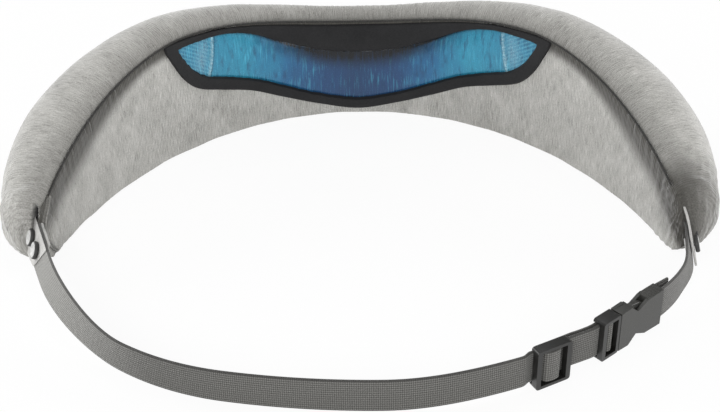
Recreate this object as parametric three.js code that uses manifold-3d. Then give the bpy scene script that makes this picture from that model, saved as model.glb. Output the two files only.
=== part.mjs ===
// Eye massager mask: a padded, curved face mask with a film window over two air bladders, and a
// webbing head strap with a slider and a side-release buckle. Millimetres, +Z up. The mask stands
// on its forehead edge: X runs across the face, -Y points from the mask to the back of the head.
import * as THREE from 'three';
import { mergeVertices } from 'three/addons/utils/BufferGeometryUtils.js';
import Module from 'manifold-3d';

const wasm = await Module();
wasm.setup();

// ---- driving dimensions -------------------------------------------------------------------------
const gap = 0.3; // running gap between touching pieces

// the face side of the mask is a wall that follows part of an ellipse in plan
const faceHalfWidth = 121.7; // half axis across the face
const faceReach = 158.3; // half axis from front to back
const panelHalfLength = 163; // along the wall, from the middle to each end
const endRound = 9; // length of each rounded end
const middleHeight = 44;
const crestHeight = 52; // tallest place, over each temple
const crestAt = 77;
const endHeight = 26;
const middleDepth = 14; // padding depth from the face to the front
const sideDepth = 34.5;
const sideDepthAt = 118;
const endDepth = 20.5;
const bulge = 2.2; // exponent of the rounded padding section
const swell = 0.58; // how far out the section's middle lies, as a share of its half depth

const coverWall = 1.2;
const faceSkin = 1.0;
const pipingRadius = 0.6;
const seamInset = 1.0; // from the edge of the mask to the middle of the piping
const foamThickness = 4.8;
const chassisWall = 1.5;
const chassisHalfLength = 92;
const filmThickness = 0.5;
const frameProud = 0.5; // how far the window frame stands out of the face

const buttonRadius = 5.4;
const buttonProud = 1.0;
const bezelWall = 1.6;
const buttonAt = 52; // along the wall
const inletAt = 34;
const inletWidth = 9.0;
const inletDepth = 3.3;
const inletWall = 0.4;

const webWidth = 12.8;
const webThick = 1.0;
const sliderLength = 13.4;
const sliderBar = 1.8;
const sliderRail = 1.2;
const sliderRoom = 0.4; // between the webbing's edge and the slider's rails
const sliderHeight = webWidth + 2 * (sliderRail + sliderRoom);
const plugRail = 1.3;
const plugRoom = 0.3; // between the webbing's edge and the buckle's rails
const buckleHeight = webWidth + 2 * (plugRail + plugRoom);
const buckleThick = 5;
const plugBaseLength = 8.4;
const socketLength = 21.6;
const loopRadius = 1.5; // middle of the webbing round a bar
const barRadius = 0.7;

const adjusterRadius = 112; // the strap's arc that the slider runs along
const adjusterCentre = new THREE.Vector2(8.7, -5.8);
const sliderHeading = 28.0; // degrees from +X, and the slider's place on the arc
const buckleAt = 38.2; // the buckle's place on the arc
const buckleHeading = 40.2;
const buckleOut = 2.3; // how far the buckle lies outside that arc
const backRadius = 259;
const backTurn = 12;
const cornerRadius = 91.7;
const leftTabHeading = 69.5; // steepness of the left tab in plan
const rightTabHeading = 82;
const leftTabLean = 22; // tabs and strap ends lean in at the top
const rightTabLean = 15;
const leftTabLevel = 12; // middle of the webbing at the left snaps
const tabThick = 1.0;
const snapRadius = 3.3;
const snapThick = 1.7;
const snapSpacing = 8.5;

// ---- solids ------------------------------------------------------------------------------------
function material(color, roughness, metalness = 0) {
  return new THREE.MeshStandardMaterial({ color, roughness, metalness });
}

const knit = material(0xb9b8b2, 0.95);
const piping = material(0x8a8983, 0.9);
const blackFoam = material(0x141416, 0.8);
const film = material(0x2f7fae, 0.2);
const padFoam = material(0xd8d5cc, 1.0);
const shellPlastic = material(0x2c2d2f, 0.55);
const buckleNylon = material(0x4a4a46, 0.45);
const webbing = material(0x74736e, 0.85);
const tabSheet = material(0xc9c8c2, 0.7);
const snapMetal = material(0xd2d1cb, 0.4, 0.6);
const steel = material(0xb4b6b8, 0.3, 1);
const boardGreen = material(0x1f5a3c, 0.6);
const cellWrap = material(0x3a5f8f, 0.5);
const silicone = material(0xcfd3d4, 0.6);
const copperFilm = material(0xb06a3a, 0.5, 0.4);

function solidOf(geometry) {
  const bare = geometry.clone();
  bare.deleteAttribute('normal');
  bare.deleteAttribute('uv');
  const merged = mergeVertices(bare, 1e-4);
  return new wasm.Manifold(new wasm.Mesh({
    numProp: 3,
    vertProperties: new Float32Array(merged.attributes.position.array),
    triVerts: new Uint32Array(merged.index.array),
  }));
}

function geometryOf(solid) {
  const { vertProperties, triVerts } = solid.getMesh();
  const geometry = new THREE.BufferGeometry();
  geometry.setAttribute('position', new THREE.BufferAttribute(vertProperties, 3));
  geometry.setIndex(new THREE.BufferAttribute(triVerts, 1));
  return geometry;
}

function cut(body, ...tools) {
  return geometryOf(tools.reduce((left, tool) => left.subtract(solidOf(tool)), solidOf(body)));
}

function join(body, ...more) {
  return geometryOf(more.reduce((sum, piece) => sum.add(solidOf(piece)), solidOf(body)));
}

// Six times the volume inside a mesh, below zero where its faces point inwards.
function signedVolume(positions, faces) {
  const corner = (i) => new THREE.Vector3().fromArray(positions, 3 * faces[i]);
  let sum = 0;
  for (let i = 0; i < faces.length; i += 3) {
    sum += corner(i).dot(corner(i + 1).cross(corner(i + 2)));
  }
  return sum;
}

// A solid through a row of flat rings, each a convex polygon with the same number of corners. A
// closed row joins its last ring to its first.
function loft(rings, closed = false) {
  const corners = rings[0].length;
  const positions = rings.flat().flatMap((point) => [point.x, point.y, point.z]);
  const faces = [];
  const spans = closed ? rings.length : rings.length - 1;
  for (let i = 0; i < spans; i += 1) {
    const here = i * corners;
    const next = ((i + 1) % rings.length) * corners;
    for (let j = 0; j < corners; j += 1) {
      const k = (j + 1) % corners;
      faces.push(here + j, here + k, next + k, here + j, next + k, next + j);
    }
  }
  const last = (rings.length - 1) * corners;
  for (let j = 1; j < corners - 1 && !closed; j += 1) {
    faces.push(0, j + 1, j, last, last + j, last + j + 1);
  }
  if (signedVolume(positions, faces) < 0) {
    faces.reverse();
  }
  const geometry = new THREE.BufferGeometry();
  geometry.setAttribute('position', new THREE.Float32BufferAttribute(positions, 3));
  geometry.setIndex(faces);
  return geometry;
}

function box(x0, x1, y0, y1, z0, z1) {
  const geometry = new THREE.BoxGeometry(x1 - x0, y1 - y0, z1 - z0);
  return geometry.translate((x0 + x1) / 2, (y0 + y1) / 2, (z0 + z1) / 2);
}

// A round bar whose axis is local Y, from y0 to y1.
function barAlongY(radius, y0, y1, x = 0, z = 0, sides = 24) {
  const geometry = new THREE.CylinderGeometry(radius, radius, y1 - y0, sides);
  return geometry.translate(x, (y0 + y1) / 2, z);
}

function roundedRectangle(width, height, radius, cx = 0, cy = 0) {
  const shape = new THREE.Shape();
  const x = cx - width / 2;
  const y = cy - height / 2;
  shape.moveTo(x + radius, y);
  shape.lineTo(x + width - radius, y);
  shape.quadraticCurveTo(x + width, y, x + width, y + radius);
  shape.lineTo(x + width, y + height - radius);
  shape.quadraticCurveTo(x + width, y + height, x + width - radius, y + height);
  shape.lineTo(x + radius, y + height);
  shape.quadraticCurveTo(x, y + height, x, y + height - radius);
  shape.lineTo(x, y + radius);
  shape.quadraticCurveTo(x, y, x + radius, y);
  return shape;
}

// A flat outline in local X and Z, thickened along local Y from y0 to y1.
function plate(shape, y0, y1, curveSegments = 4) {
  const geometry = new THREE.ExtrudeGeometry(shape, {
    depth: y1 - y0,
    bevelEnabled: false,
    curveSegments,
  });
  return geometry.rotateX(Math.PI / 2).translate(0, y1, 0);
}

// ---- the face wall -------------------------------------------------------------------------------
// Places on the mask are given as (along, out, up): along the wall from the middle, out from the
// face towards the front, and height.
const wallSweep = THREE.MathUtils.degToRad(100);
const wallCurve = new THREE.EllipseCurve(
  0, 0, faceHalfWidth, faceReach, Math.PI / 2 + wallSweep, Math.PI / 2 - wallSweep, true,
);
wallCurve.arcLengthDivisions = 2000;
const wallLength = wallCurve.getLength();
const faceCentreY = -85.4;
const endShare = 0.2; // the rounded ends close at this share of the depth and height

function wallFrame(along) {
  const share = 0.5 + along / wallLength;
  const point = wallCurve.getPointAt(share);
  const tangent = wallCurve.getTangentAt(share);
  return { x: point.x, y: point.y + faceCentreY, tx: tangent.x, ty: tangent.y };
}

function onWall(along, out, up) {
  const { x, y, tx, ty } = wallFrame(along);
  return new THREE.Vector3(x - ty * out, y + tx * out, up);
}

function maskHeight(along) {
  const reach = Math.abs(along);
  if (reach < crestAt) {
    const rise = Math.sin((Math.PI / 2) * (reach / crestAt)) ** 2;
    return middleHeight + (crestHeight - middleHeight) * rise;
  }
  const fall = Math.min((reach - crestAt) / (panelHalfLength - crestAt), 1) ** 1.6;
  return crestHeight - (crestHeight - endHeight) * fall;
}

function maskDepth(along) {
  const reach = Math.abs(along);
  if (reach < sideDepthAt) {
    const rise = Math.sin((Math.PI / 2) * (reach / sideDepthAt)) ** 2;
    return middleDepth + (sideDepth - middleDepth) * rise;
  }
  const fall = Math.min((reach - sideDepthAt) / (panelHalfLength - sideDepthAt), 1) ** 2;
  return sideDepth - (sideDepth - endDepth) * fall;
}

// One ring of the padding section, set in from its surface and cut off at backAt on the face side.
// The section is a superellipse whose middle lies out from the face, so that it swells above the
// seam; below its middle it runs back flat to the face. It shrinks round each end.
function paddingRing(along, inset, backAt, steps = 11) {
  const past = Math.max(Math.abs(along) - panelHalfLength, 0);
  const squeeze = Math.sqrt(Math.max(1 - (past / (endRound - inset)) ** 2, 0.01));
  const depth = maskDepth(along);
  const half = maskHeight(along) / 2;
  const halfDepth = depth / (1 + swell);
  const middle = depth - halfDepth;
  const above = half / (1 - swell ** bulge) ** (1 / bulge) - inset;
  const across = halfDepth - inset;
  const overhang = (middle - backAt) / across;
  const first = -Math.sign(overhang) * Math.asin(Math.min(Math.abs(overhang), 1) ** (bulge / 2));
  const endOut = depth * endShare;
  const endUp = half * 2 * endShare;
  const place = (out, up) => (
    onWall(along, endOut + (out - endOut) * squeeze, endUp + (up - endUp) * squeeze)
  );
  const rounded = (value) => Math.sign(value) * Math.abs(value) ** (2 / bulge);
  const ring = [];
  for (let i = 0; i <= steps; i += 1) {
    const angle = first + ((Math.PI - first) * i) / steps;
    const side = Math.cos(angle);
    const tall = side > 0 ? above : half - inset;
    ring.push(place(middle + across * rounded(Math.sin(angle)), half + tall * rounded(side)));
  }
  ring.push(place(backAt, inset));
  return ring;
}

function spread(from, to, steps) {
  return Array.from({ length: steps + 1 }, (_, i) => from + ((to - from) * i) / steps);
}

const panelStations = spread(-panelHalfLength, panelHalfLength, 28);

function paddingSolid(inset, backAt) {
  const round = endRound - inset;
  const turn = [22, 45, 66, 83].map((degrees) => Math.sin(THREE.MathUtils.degToRad(degrees)));
  const ends = turn.map((share) => panelHalfLength + share * round);
  const stations = [
    ...ends.map((end) => -end).reverse(),
    ...panelStations,
    ...ends,
  ];
  return loft(stations.map((along) => paddingRing(along, inset, backAt)));
}

// A layer of the mask: between two distances out from the face, and two heights that change along it.
function wallLayer(from, to, inner, outer, low, high, steps = 32) {
  return loft(spread(from, to, steps).map((along) => [
    onWall(along, inner, low(along)),
    onWall(along, inner, high(along)),
    onWall(along, outer, high(along)),
    onWall(along, outer, low(along)),
  ]));
}

// Height as a smooth function of distance from the middle, through a few points of an outline.
function outline(points) {
  return (along) => {
    const reach = Math.min(Math.abs(along), points[points.length - 1][0]);
    const next = Math.max(points.findIndex(([at]) => at >= reach), 1);
    const [fromAt, fromUp] = points[next - 1];
    const [toAt, toUp] = points[next];
    return fromUp + ((toUp - fromUp) * (reach - fromAt)) / (toAt - fromAt);
  };
}

const windowHalfLength = 87;
const windowLow = outline([[0, 4.2], [20, 7.5], [40, 15.5], [60, 22.5], [73, 28], [81, 39], [87, 49.5]]);
const filmHalfLength = 78;
const filmLow = outline([[0, 8], [19, 11.5], [36, 19], [55, 26.5], [68, 31], [74, 38], [78, 45.5]]);
const filmHigh = outline([[0, 28], [17, 32], [32, 38], [48, 45], [58, 47], [70, 48], [78, 47]]);
const windowTop = (along) => maskHeight(along) - 2 * seamInset - gap;

// Turns a piece built at the origin (X along the wall, Y out of it) into its place on the mask.
function mount(geometry, along, out, up) {
  const { tx, ty } = wallFrame(along);
  const place = onWall(along, out, up);
  return geometry.rotateZ(Math.atan2(ty, tx)).translate(place.x, place.y, place.z);
}

// ---- the strap's line in plan ------------------------------------------------------------------
// A pen that draws a line in plan as straight legs and arcs, and keeps the points it passed.
class Pen {
  constructor(x, y, degrees) {
    this.at = new THREE.Vector2(x, y);
    this.heading = THREE.MathUtils.degToRad(degrees);
    this.points = [this.at.clone()];
  }

  straight(length, steps = 1) {
    for (let i = 0; i < steps; i += 1) {
      this.at.x += (length / steps) * Math.cos(this.heading);
      this.at.y += (length / steps) * Math.sin(this.heading);
      this.points.push(this.at.clone());
    }
    return this;
  }

  arc(radius, degrees, steps) {
    const turn = THREE.MathUtils.degToRad(degrees) / steps;
    const chord = 2 * radius * Math.sin(Math.abs(turn) / 2);
    for (let i = 0; i < steps; i += 1) {
      this.heading += turn / 2;
      this.at.x += chord * Math.cos(this.heading);
      this.at.y += chord * Math.sin(this.heading);
      this.heading += turn / 2;
      this.points.push(this.at.clone());
    }
    return this;
  }
}

// Webbing on edge along a line in plan. level(i, count) gives the height of its middle and
// lean(i, count) the degrees that its top leans in at point i.
function ribbon(points, level, lean = () => 0, width = webWidth, thick = webThick) {
  const last = points.length - 1;
  return loft(points.map((point, i) => {
    const before = points[Math.max(i - 1, 0)];
    const after = points[Math.min(i + 1, last)];
    const along = after.clone().sub(before).normalize();
    const tilt = THREE.MathUtils.degToRad(lean(i, last));
    const outwards = new THREE.Vector3(along.y, -along.x, 0);
    const up = new THREE.Vector3(0, 0, Math.cos(tilt)).addScaledVector(outwards, -Math.sin(tilt));
    const face = outwards.multiplyScalar(Math.cos(tilt)).setZ(Math.sin(tilt));
    const middle = new THREE.Vector3(point.x, point.y, level(i, last));
    const corner = (a, b) => middle.clone()
      .addScaledVector(face, (a * thick) / 2)
      .addScaledVector(up, (b * width) / 2);
    return [corner(-1, -1), corner(-1, 1), corner(1, 1), corner(1, -1)];
  }));
}

function arcPoint(radius, degrees) {
  const angle = THREE.MathUtils.degToRad(degrees);
  return new THREE.Vector2(
    adjusterCentre.x + radius * Math.sin(angle),
    adjusterCentre.y - radius * Math.cos(angle),
  );
}

function degreesOf(length) {
  return THREE.MathUtils.radToDeg(length / adjusterRadius);
}

const strapLevel = buckleHeight / 2;
const restLevel = webWidth / 2;

const socketStart = plugBaseLength + gap;
const endBarAt = socketStart + socketLength - 3.6;
const endBarOut = 0.9; // how far the socket's webbing bar lies behind the buckle's middle

// The plug's origin is the middle of its webbing end; local X runs into the socket, local -Y
// faces out of the loop.
const plugOrigin = arcPoint(adjusterRadius + buckleOut - loopRadius - 0.4, buckleAt);

function inBuckle(geometry) {
  return geometry
    .rotateZ(THREE.MathUtils.degToRad(buckleHeading))
    .translate(plugOrigin.x, plugOrigin.y, 0);
}

function inSlider(geometry) {
  const origin = arcPoint(adjusterRadius, sliderHeading);
  return geometry
    .rotateZ(THREE.MathUtils.degToRad(sliderHeading))
    .translate(origin.x, origin.y, 0);
}

// ---- group ---------------------------------------------------------------------------------------
const mask = new THREE.Group();

function add(name, geometry, finish) {
  const mesh = new THREE.Mesh(geometry, finish.clone());
  mesh.name = name;
  mask.add(mesh);
  return mesh;
}

// ---- lines of the two strap ends ------------------------------------------------------------------
// A tab is a leaning sheet beside the strap's end. Its own frame: local X along the strap, local Z
// up the sheet, local -Y out of the loop; the origin is the lower snap, on the sheet's outer face.
const capFace = -gap - webThick; // the left strap lies on the tab's outer face
const rightStrapFace = tabThick + gap; // and the right one on its inner face
const leftArcToSnap = 11.5;
const rightArcToSnap = 2.5;
const leftStrapEnd = snapSpacing + snapRadius + 0.8; // past the lower snap

// From the middle of the back to the start of the straight end at the left tab.
const leftRun = new Pen(adjusterCentre.x, adjusterCentre.y - adjusterRadius, 180)
  .arc(backRadius, -backTurn, 6)
  .arc(cornerRadius, -(leftTabHeading - backTurn), 14);

// From the socket's bar to the start of the straight end at the right tab.
const shortRadius = 54;
const socketBar = new THREE.Vector2(endBarAt, endBarOut - loopRadius)
  .rotateAround(new THREE.Vector2(), THREE.MathUtils.degToRad(buckleHeading))
  .add(plugOrigin);
const rightRun = new Pen(socketBar.x, socketBar.y, buckleHeading)
  .straight(2.3, 4)
  .arc(shortRadius, rightTabHeading - buckleHeading, 12);

// The point reached from a run's end, moved sideways to the right of its heading.
function beyond(run, length, sideways) {
  return new THREE.Vector2(
    run.at.x + length * Math.cos(run.heading) + sideways * Math.sin(run.heading),
    run.at.y + length * Math.sin(run.heading) - sideways * Math.cos(run.heading),
  );
}

// A tab's sheet lies this far beside the middle of its strap. A leaning sheet's face is also off
// its level line, so the offset is taken at the level of the snaps.
function tabPlace(run, arcToSnap, offset, lean) {
  return beyond(run, arcToSnap, offset * Math.cos(THREE.MathUtils.degToRad(lean)));
}

const leftTabAt = tabPlace(leftRun, leftArcToSnap, gap + webThick / 2, leftTabLean);
const rightTabAt = tabPlace(rightRun, rightArcToSnap, rightStrapFace + webThick / 2, rightTabLean);

function inLeftTab(geometry) {
  return geometry
    .rotateX(THREE.MathUtils.degToRad(-leftTabLean))
    .rotateZ(THREE.MathUtils.degToRad(-leftTabHeading))
    .translate(leftTabAt.x, leftTabAt.y, leftTabLevel);
}

function inRightTab(geometry) {
  return geometry
    .rotateX(THREE.MathUtils.degToRad(-rightTabLean))
    .rotateZ(THREE.MathUtils.degToRad(rightTabHeading))
    .translate(rightTabAt.x, rightTabAt.y, strapLevel);
}

const tabInside = 10; // how far the tab reaches into the padding past the upper snap
const tabTail = 5;
const tabTaper = 0.8; // how much narrower the tab is inside the padding
const tabPeak = 6.2; // how far its upper corner stands above the webbing

// side is 1 where local X points away from the mask, and -1 where it points into it.
function tabPlate(side, grow = 0) {
  const end = -side * (snapSpacing + tabInside + grow);
  const tail = side * (tabTail + grow);
  const shape = new THREE.Shape();
  const edge = webWidth / 2 - 0.1 + grow;
  shape.moveTo(end, tabTaper - edge);
  shape.lineTo(tail, -edge);
  shape.lineTo(tail, edge);
  shape.lineTo(-side * 4, edge + tabPeak);
  shape.lineTo(end, edge - tabTaper);
  return plate(shape, -grow, tabThick + grow);
}

// The open cleft in the end of the padding, where tab, strap and snaps come out of the seam.
function cleft(side, outer, inner) {
  const deep = -side * (leftStrapEnd + 1);
  const open = side * 40;
  return box(Math.min(deep, open), Math.max(deep, open), outer, inner, -20, 40);
}

const snapRoom = snapThick + 2 * gap;
const leftCleft = inLeftTab(cleft(1, capFace - snapRoom, tabThick + 4 * gap));
const rightCleft = inRightTab(cleft(-1, -snapRoom, rightStrapFace + webThick + 4 * gap));
const leftSlit = inLeftTab(tabPlate(1, gap));
const rightSlit = inRightTab(tabPlate(-1, gap));

// ---- mask covers -----------------------------------------------------------------------------------
function buttonPlace(geometry) {
  return mount(geometry, buttonAt, maskDepth(buttonAt), maskHeight(buttonAt) / 2);
}

function inletPlace(geometry) {
  return mount(geometry, inletAt, maskDepth(inletAt), maskHeight(inletAt) / 2);
}

function inletShell(grow, y0, y1) {
  const shape = roundedRectangle(
    inletDepth + 2 * grow, inletWidth + 2 * grow, inletDepth / 2 + grow - 0.05,
  );
  return plate(shape, y0, y1, 3);
}

const boreReach = 6;

function outerCover() {
  const always = (value) => () => value;
  const skin = paddingSolid(0, 0);
  const hollow = paddingSolid(coverWall, coverWall);
  const face = wallLayer(
    -panelHalfLength - gap, panelHalfLength + gap, -3, faceSkin + gap,
    always(-5), always(crestHeight + 12), 28,
  );
  const mouth = wallLayer(
    -panelHalfLength + 1, panelHalfLength - 1, -3, 2.5,
    always(coverWall), (along) => maskHeight(along) - coverWall, 28,
  );
  const buttonHole = buttonPlace(barAlongY(buttonRadius + bezelWall + 2 * gap, -boreReach, 3));
  const inletHole = inletPlace(inletShell(inletWall + 1 + 2 * gap, -boreReach, 3));
  return cut(
    skin, hollow, face, mouth, leftSlit, rightSlit, leftCleft, rightCleft, buttonHole, inletHole,
  );
}

function innerCover() {
  const inset = 2 * seamInset - pipingRadius + gap;
  const sheet = wallLayer(
    -panelHalfLength + inset, panelHalfLength - inset, 0, faceSkin,
    () => inset, (along) => maskHeight(along) - inset, 34,
  );
  const opening = wallLayer(
    -windowHalfLength - gap, windowHalfLength + gap, -2, faceSkin + 2,
    (along) => windowLow(along) - gap, (along) => maskHeight(along) + 5, 30,
  );
  return cut(sheet, opening);
}

function seamPiping() {
  const reach = panelHalfLength - seamInset;
  const out = faceSkin / 2 - 0.1;
  const corner = 0.3;
  const path = [];
  spread(-reach + corner, reach - corner, 34).forEach((along) => path.push(onWall(along, out, seamInset)));
  path.push(onWall(reach, out, seamInset + corner));
  path.push(onWall(reach, out, endHeight - seamInset - corner));
  spread(reach - corner, -reach + corner, 34).forEach((along) => {
    path.push(onWall(along, out, maskHeight(along) - seamInset));
  });
  path.push(onWall(-reach, out, endHeight - seamInset - corner));
  path.push(onWall(-reach, out, seamInset + corner));
  const sides = 5;
  const rings = path.map((point, i) => {
    const before = path[(i + path.length - 1) % path.length];
    const after = path[(i + 1) % path.length];
    const along = after.clone().sub(before).normalize();
    const outwards = new THREE.Vector3(along.y, -along.x, 0);
    if (outwards.length() < 0.5) {
      const { tx, ty } = wallFrame(Math.sign(point.x) * reach);
      outwards.set(-ty, tx, 0).multiplyScalar(-Math.sign(along.z) * Math.sign(point.x));
    }
    outwards.normalize();
    const across = outwards.clone().cross(along).normalize();
    return Array.from({ length: sides }, (_, j) => {
      const angle = (2 * Math.PI * j) / sides;
      return point.clone()
        .addScaledVector(outwards, pipingRadius * Math.cos(angle))
        .addScaledVector(across, pipingRadius * Math.sin(angle));
    });
  });
  return loft(rings, true);
}

add('outer_cover', outerCover(), knit);
add('inner_cover', innerCover(), knit);
add('seam_piping', seamPiping(), piping);

// ---- eye window ------------------------------------------------------------------------------------
function windowFrame() {
  const block = wallLayer(
    -windowHalfLength, windowHalfLength, -frameProud, faceSkin, windowLow, windowTop, 30,
  );
  const opening = wallLayer(
    -filmHalfLength, filmHalfLength, -3, faceSkin + 3, filmLow, filmHigh, 28,
  );
  return cut(block, opening);
}

function filmSheet() {
  return wallLayer(
    -filmHalfLength + gap, filmHalfLength - gap, faceSkin - filmThickness, faceSkin,
    (along) => filmLow(along) + gap, (along) => filmHigh(along) - gap, 28,
  );
}

const bladderFrom = 12;
const bladderTo = 72;
const bladderRim = 1.6;
const stemAt = 22; // the bladders' air stems pass through the chassis here
const stemLevel = 24;
const stemRadius = 1.1;
const layerFront = faceSkin + gap; // first layer behind the face
const layerBack = layerFront + foamThickness;

function bladder(side) {
  const stations = spread(bladderFrom, bladderTo, 12).map((reach) => side * reach);
  const rings = (side > 0 ? stations : stations.reverse()).map((along) => {
    const share = (Math.abs(along) - bladderFrom) / (bladderTo - bladderFrom);
    const fill = bladderRim + (foamThickness - bladderRim - gap) * Math.sin(Math.PI * share) ** 0.7;
    const low = filmLow(along) + 1;
    const high = filmHigh(along) - 2;
    const shoulder = (high - low) * 0.22;
    return [
      onWall(along, layerFront, low),
      onWall(along, layerFront, high),
      onWall(along, layerFront + bladderRim, high),
      onWall(along, layerFront + fill, high - shoulder),
      onWall(along, layerFront + fill, low + shoulder),
      onWall(along, layerFront + bladderRim, low),
    ];
  });
  const stem = barAlongY(stemRadius, layerFront + 2, layerBack + 5.4, 0, 0, 12);
  return join(loft(rings), mount(stem, side * stemAt, 0, stemLevel));
}

// Clears a layer for both air stems.
function stemBores() {
  return [-1, 1].map((side) => (
    mount(barAlongY(stemRadius + gap, 2, layerBack + 8, 0, 0, 12), side * stemAt, 0, stemLevel)
  ));
}

add('eye_window_frame', windowFrame(), blackFoam);
add('eye_film', filmSheet(), film);
add('left_air_bladder', bladder(-1), silicone);
add('right_air_bladder', bladder(1), silicone);

// ---- foam, heater and chassis ------------------------------------------------------------------------
function faceFoam() {
  const inset = 3.4;
  const rimLeft = 1.5; // least foam left above and below the window
  const length = panelHalfLength - 12;
  const sheet = wallLayer(
    -length, length, layerFront, layerBack, () => inset, (along) => maskHeight(along) - inset, 28,
  );
  const opening = wallLayer(
    -windowHalfLength + 4, windowHalfLength - 4, 0, layerBack + 2,
    (along) => Math.max(filmLow(along) - 2, inset + rimLeft),
    (along) => Math.min(filmHigh(along) + 1, maskHeight(along) - inset - rimLeft), 26,
  );
  return cut(sheet, opening, leftSlit, rightSlit, leftCleft, rightCleft);
}

function bolsterFoam(side) {
  const rings = panelStations
    .filter((along) => side * along > chassisHalfLength)
    .map((along) => paddingRing(along, coverWall + 2 * gap, layerBack + gap));
  const room = side > 0 ? [rightSlit, rightCleft] : [leftSlit, leftCleft];
  return cut(loft(rings), ...room);
}

const heaterBack = layerBack + gap + 0.3;
const chassisFront = heaterBack + gap;
const chassisBack = chassisFront + chassisWall;
const deck = chassisBack + gap; // parts bolted to the chassis start here
const chassisInset = 6;

function heatingFilm() {
  const sheet = wallLayer(
    -82, 82, layerBack + gap, heaterBack, () => 9, (along) => maskHeight(along) - 9, 24,
  );
  return cut(sheet, ...stemBores());
}

const boardAt = 50;
const boardLength = 36;
const boardHeight = 22;
const boardOut = deck + 2.4; // the board stands on pillars moulded on the chassis
const boardThick = 1.0;
const screwRadius = 0.8;
const screwGap = 0.15;
const pillarRadius = 1.9;
const screwSpots = [[-15, -8.5], [15, -8.5], [-15, 8.5], [15, 8.5]];
const boardLevel = maskHeight(boardAt) / 2;

function onBoard(geometry) {
  return mount(geometry, boardAt, 0, boardLevel);
}

function chassis() {
  const sheet = wallLayer(
    -chassisHalfLength, chassisHalfLength, chassisFront, chassisBack,
    () => chassisInset, (along) => maskHeight(along) - chassisInset, 26,
  );
  const pillars = screwSpots.map(([x, z]) => (
    onBoard(barAlongY(pillarRadius, chassisFront - 0.2, boardOut - 0.1, x, z, 10))
  ));
  const bores = screwSpots.map(([x, z]) => (
    onBoard(barAlongY(screwRadius + screwGap, chassisFront + 1.6, boardOut + 3, x, z, 8))
  ));
  return cut(join(sheet, ...pillars), ...bores, ...stemBores());
}

add('face_foam', faceFoam(), padFoam);
add('left_bolster_foam', bolsterFoam(-1), padFoam);
add('right_bolster_foam', bolsterFoam(1), padFoam);
add('heating_film', heatingFilm(), copperFilm);
add('chassis', chassis(), shellPlastic);

// ---- electronics on the right of the chassis ----------------------------------------------------------
const boardFace = boardOut + boardThick;
const switchRadius = 3;
const buttonLip = 0.8; // the rim that keeps the button in its bezel

function circuitBoard() {
  const sheet = box(
    -boardLength / 2, boardLength / 2, boardOut, boardFace, -boardHeight / 2, boardHeight / 2,
  );
  const holes = screwSpots.map(([x, z]) => (
    barAlongY(screwRadius + screwGap, boardOut - 1, boardFace + 1, x, z, 8)
  ));
  return onBoard(cut(sheet, ...holes));
}

function boardScrew(x, z) {
  const shank = barAlongY(screwRadius, boardOut - 2, boardFace + 0.4, x, z, 8);
  const head = barAlongY(screwRadius * 2, boardFace + 0.1, boardFace + 1.1, x, z, 12);
  return onBoard(join(shank, head));
}

// The switch stands behind the button, square to the button's axis.
const boardToButton = onWall(boardAt, boardFace, boardLevel)
  .distanceTo(onWall(buttonAt, boardFace, boardLevel));
const switchTop = maskDepth(buttonAt) - 3.2;

function domeSwitch() {
  const base = box(-3, 3, boardFace + 0.15, boardFace + 1.4, -3, 3).translate(boardToButton, 0, 0);
  const stem = barAlongY(switchRadius - 1.2, boardFace + 1.2, switchTop, boardToButton, 0, 20);
  return onBoard(join(base, stem));
}

function powerButton() {
  const cap = barAlongY(buttonRadius, -1.6, buttonProud, 0, 0, 24);
  const flange = barAlongY(buttonRadius + buttonLip, -2.3, -1.5, 0, 0, 24);
  return buttonPlace(join(cap, flange));
}

function buttonBezel() {
  const ring = barAlongY(buttonRadius + bezelWall + gap, -3.2, 0.6, 0, 0, 24);
  const bore = barAlongY(buttonRadius + gap, -4, 2, 0, 0, 24);
  const pocket = barAlongY(buttonRadius + buttonLip + gap, -4, -1.2, 0, 0, 24);
  return buttonPlace(cut(ring, bore, pocket));
}

const inletFloor = -3.3;

function chargingInlet() {
  const body = inletShell(inletWall, inletFloor, 0.1);
  const cavity = inletShell(0, inletFloor + 0.8, 2);
  const tongue = box(-0.35, 0.35, inletFloor + 0.4, -0.8, -3.3, 3.3);
  return inletPlace(join(cut(body, cavity), tongue));
}

function inletSurround() {
  const ring = inletShell(inletWall + gap + 1, -1.8, 0.5);
  const bore = inletShell(inletWall + gap, -3, 2);
  return inletPlace(cut(ring, bore));
}

const batteryAt = 81;

function battery() {
  const shape = roundedRectangle(20, 32, 2);
  return mount(plate(shape, deck + 0.7, deck + 6.7, 3), batteryAt, 0, maskHeight(batteryAt) / 2);
}

add('circuit_board', circuitBoard(), boardGreen);
screwSpots.forEach(([x, z], i) => add(`board_screw_${i + 1}`, boardScrew(x, z), steel));
add('dome_switch', domeSwitch(), steel);
add('power_button', powerButton(), shellPlastic);
add('button_bezel', buttonBezel(), shellPlastic);
add('charging_inlet', chargingInlet(), steel);
add('inlet_surround', inletSurround(), shellPlastic);
add('battery', battery(), cellWrap);

// ---- air system on the left of the chassis -------------------------------------------------------------
const pumpAt = -74;
const pumpRadius = 4.2;
const pumpLength = 13;
const pumpLevel = maskHeight(pumpAt) / 2 + 2;
const pumpOut = deck + pumpRadius + gap;
const headHalf = pumpRadius + 0.2;
const headLength = 7;
const valveAt = -46;
const valveHalf = 3.6;
const valveLevel = maskHeight(valveAt) / 2;
const portRadius = 0.9;
const portLength = 3;

function upright(radius, z0, z1, sides = 24) {
  const geometry = new THREE.CylinderGeometry(radius, radius, z1 - z0, sides);
  return geometry.rotateX(Math.PI / 2).translate(0, 0, (z0 + z1) / 2);
}

// A short round port whose axis is local X.
function port(x0, x1, y, z) {
  const geometry = new THREE.CylinderGeometry(portRadius, portRadius, x1 - x0, 12);
  return geometry.rotateZ(Math.PI / 2).translate((x0 + x1) / 2, y, z);
}

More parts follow.
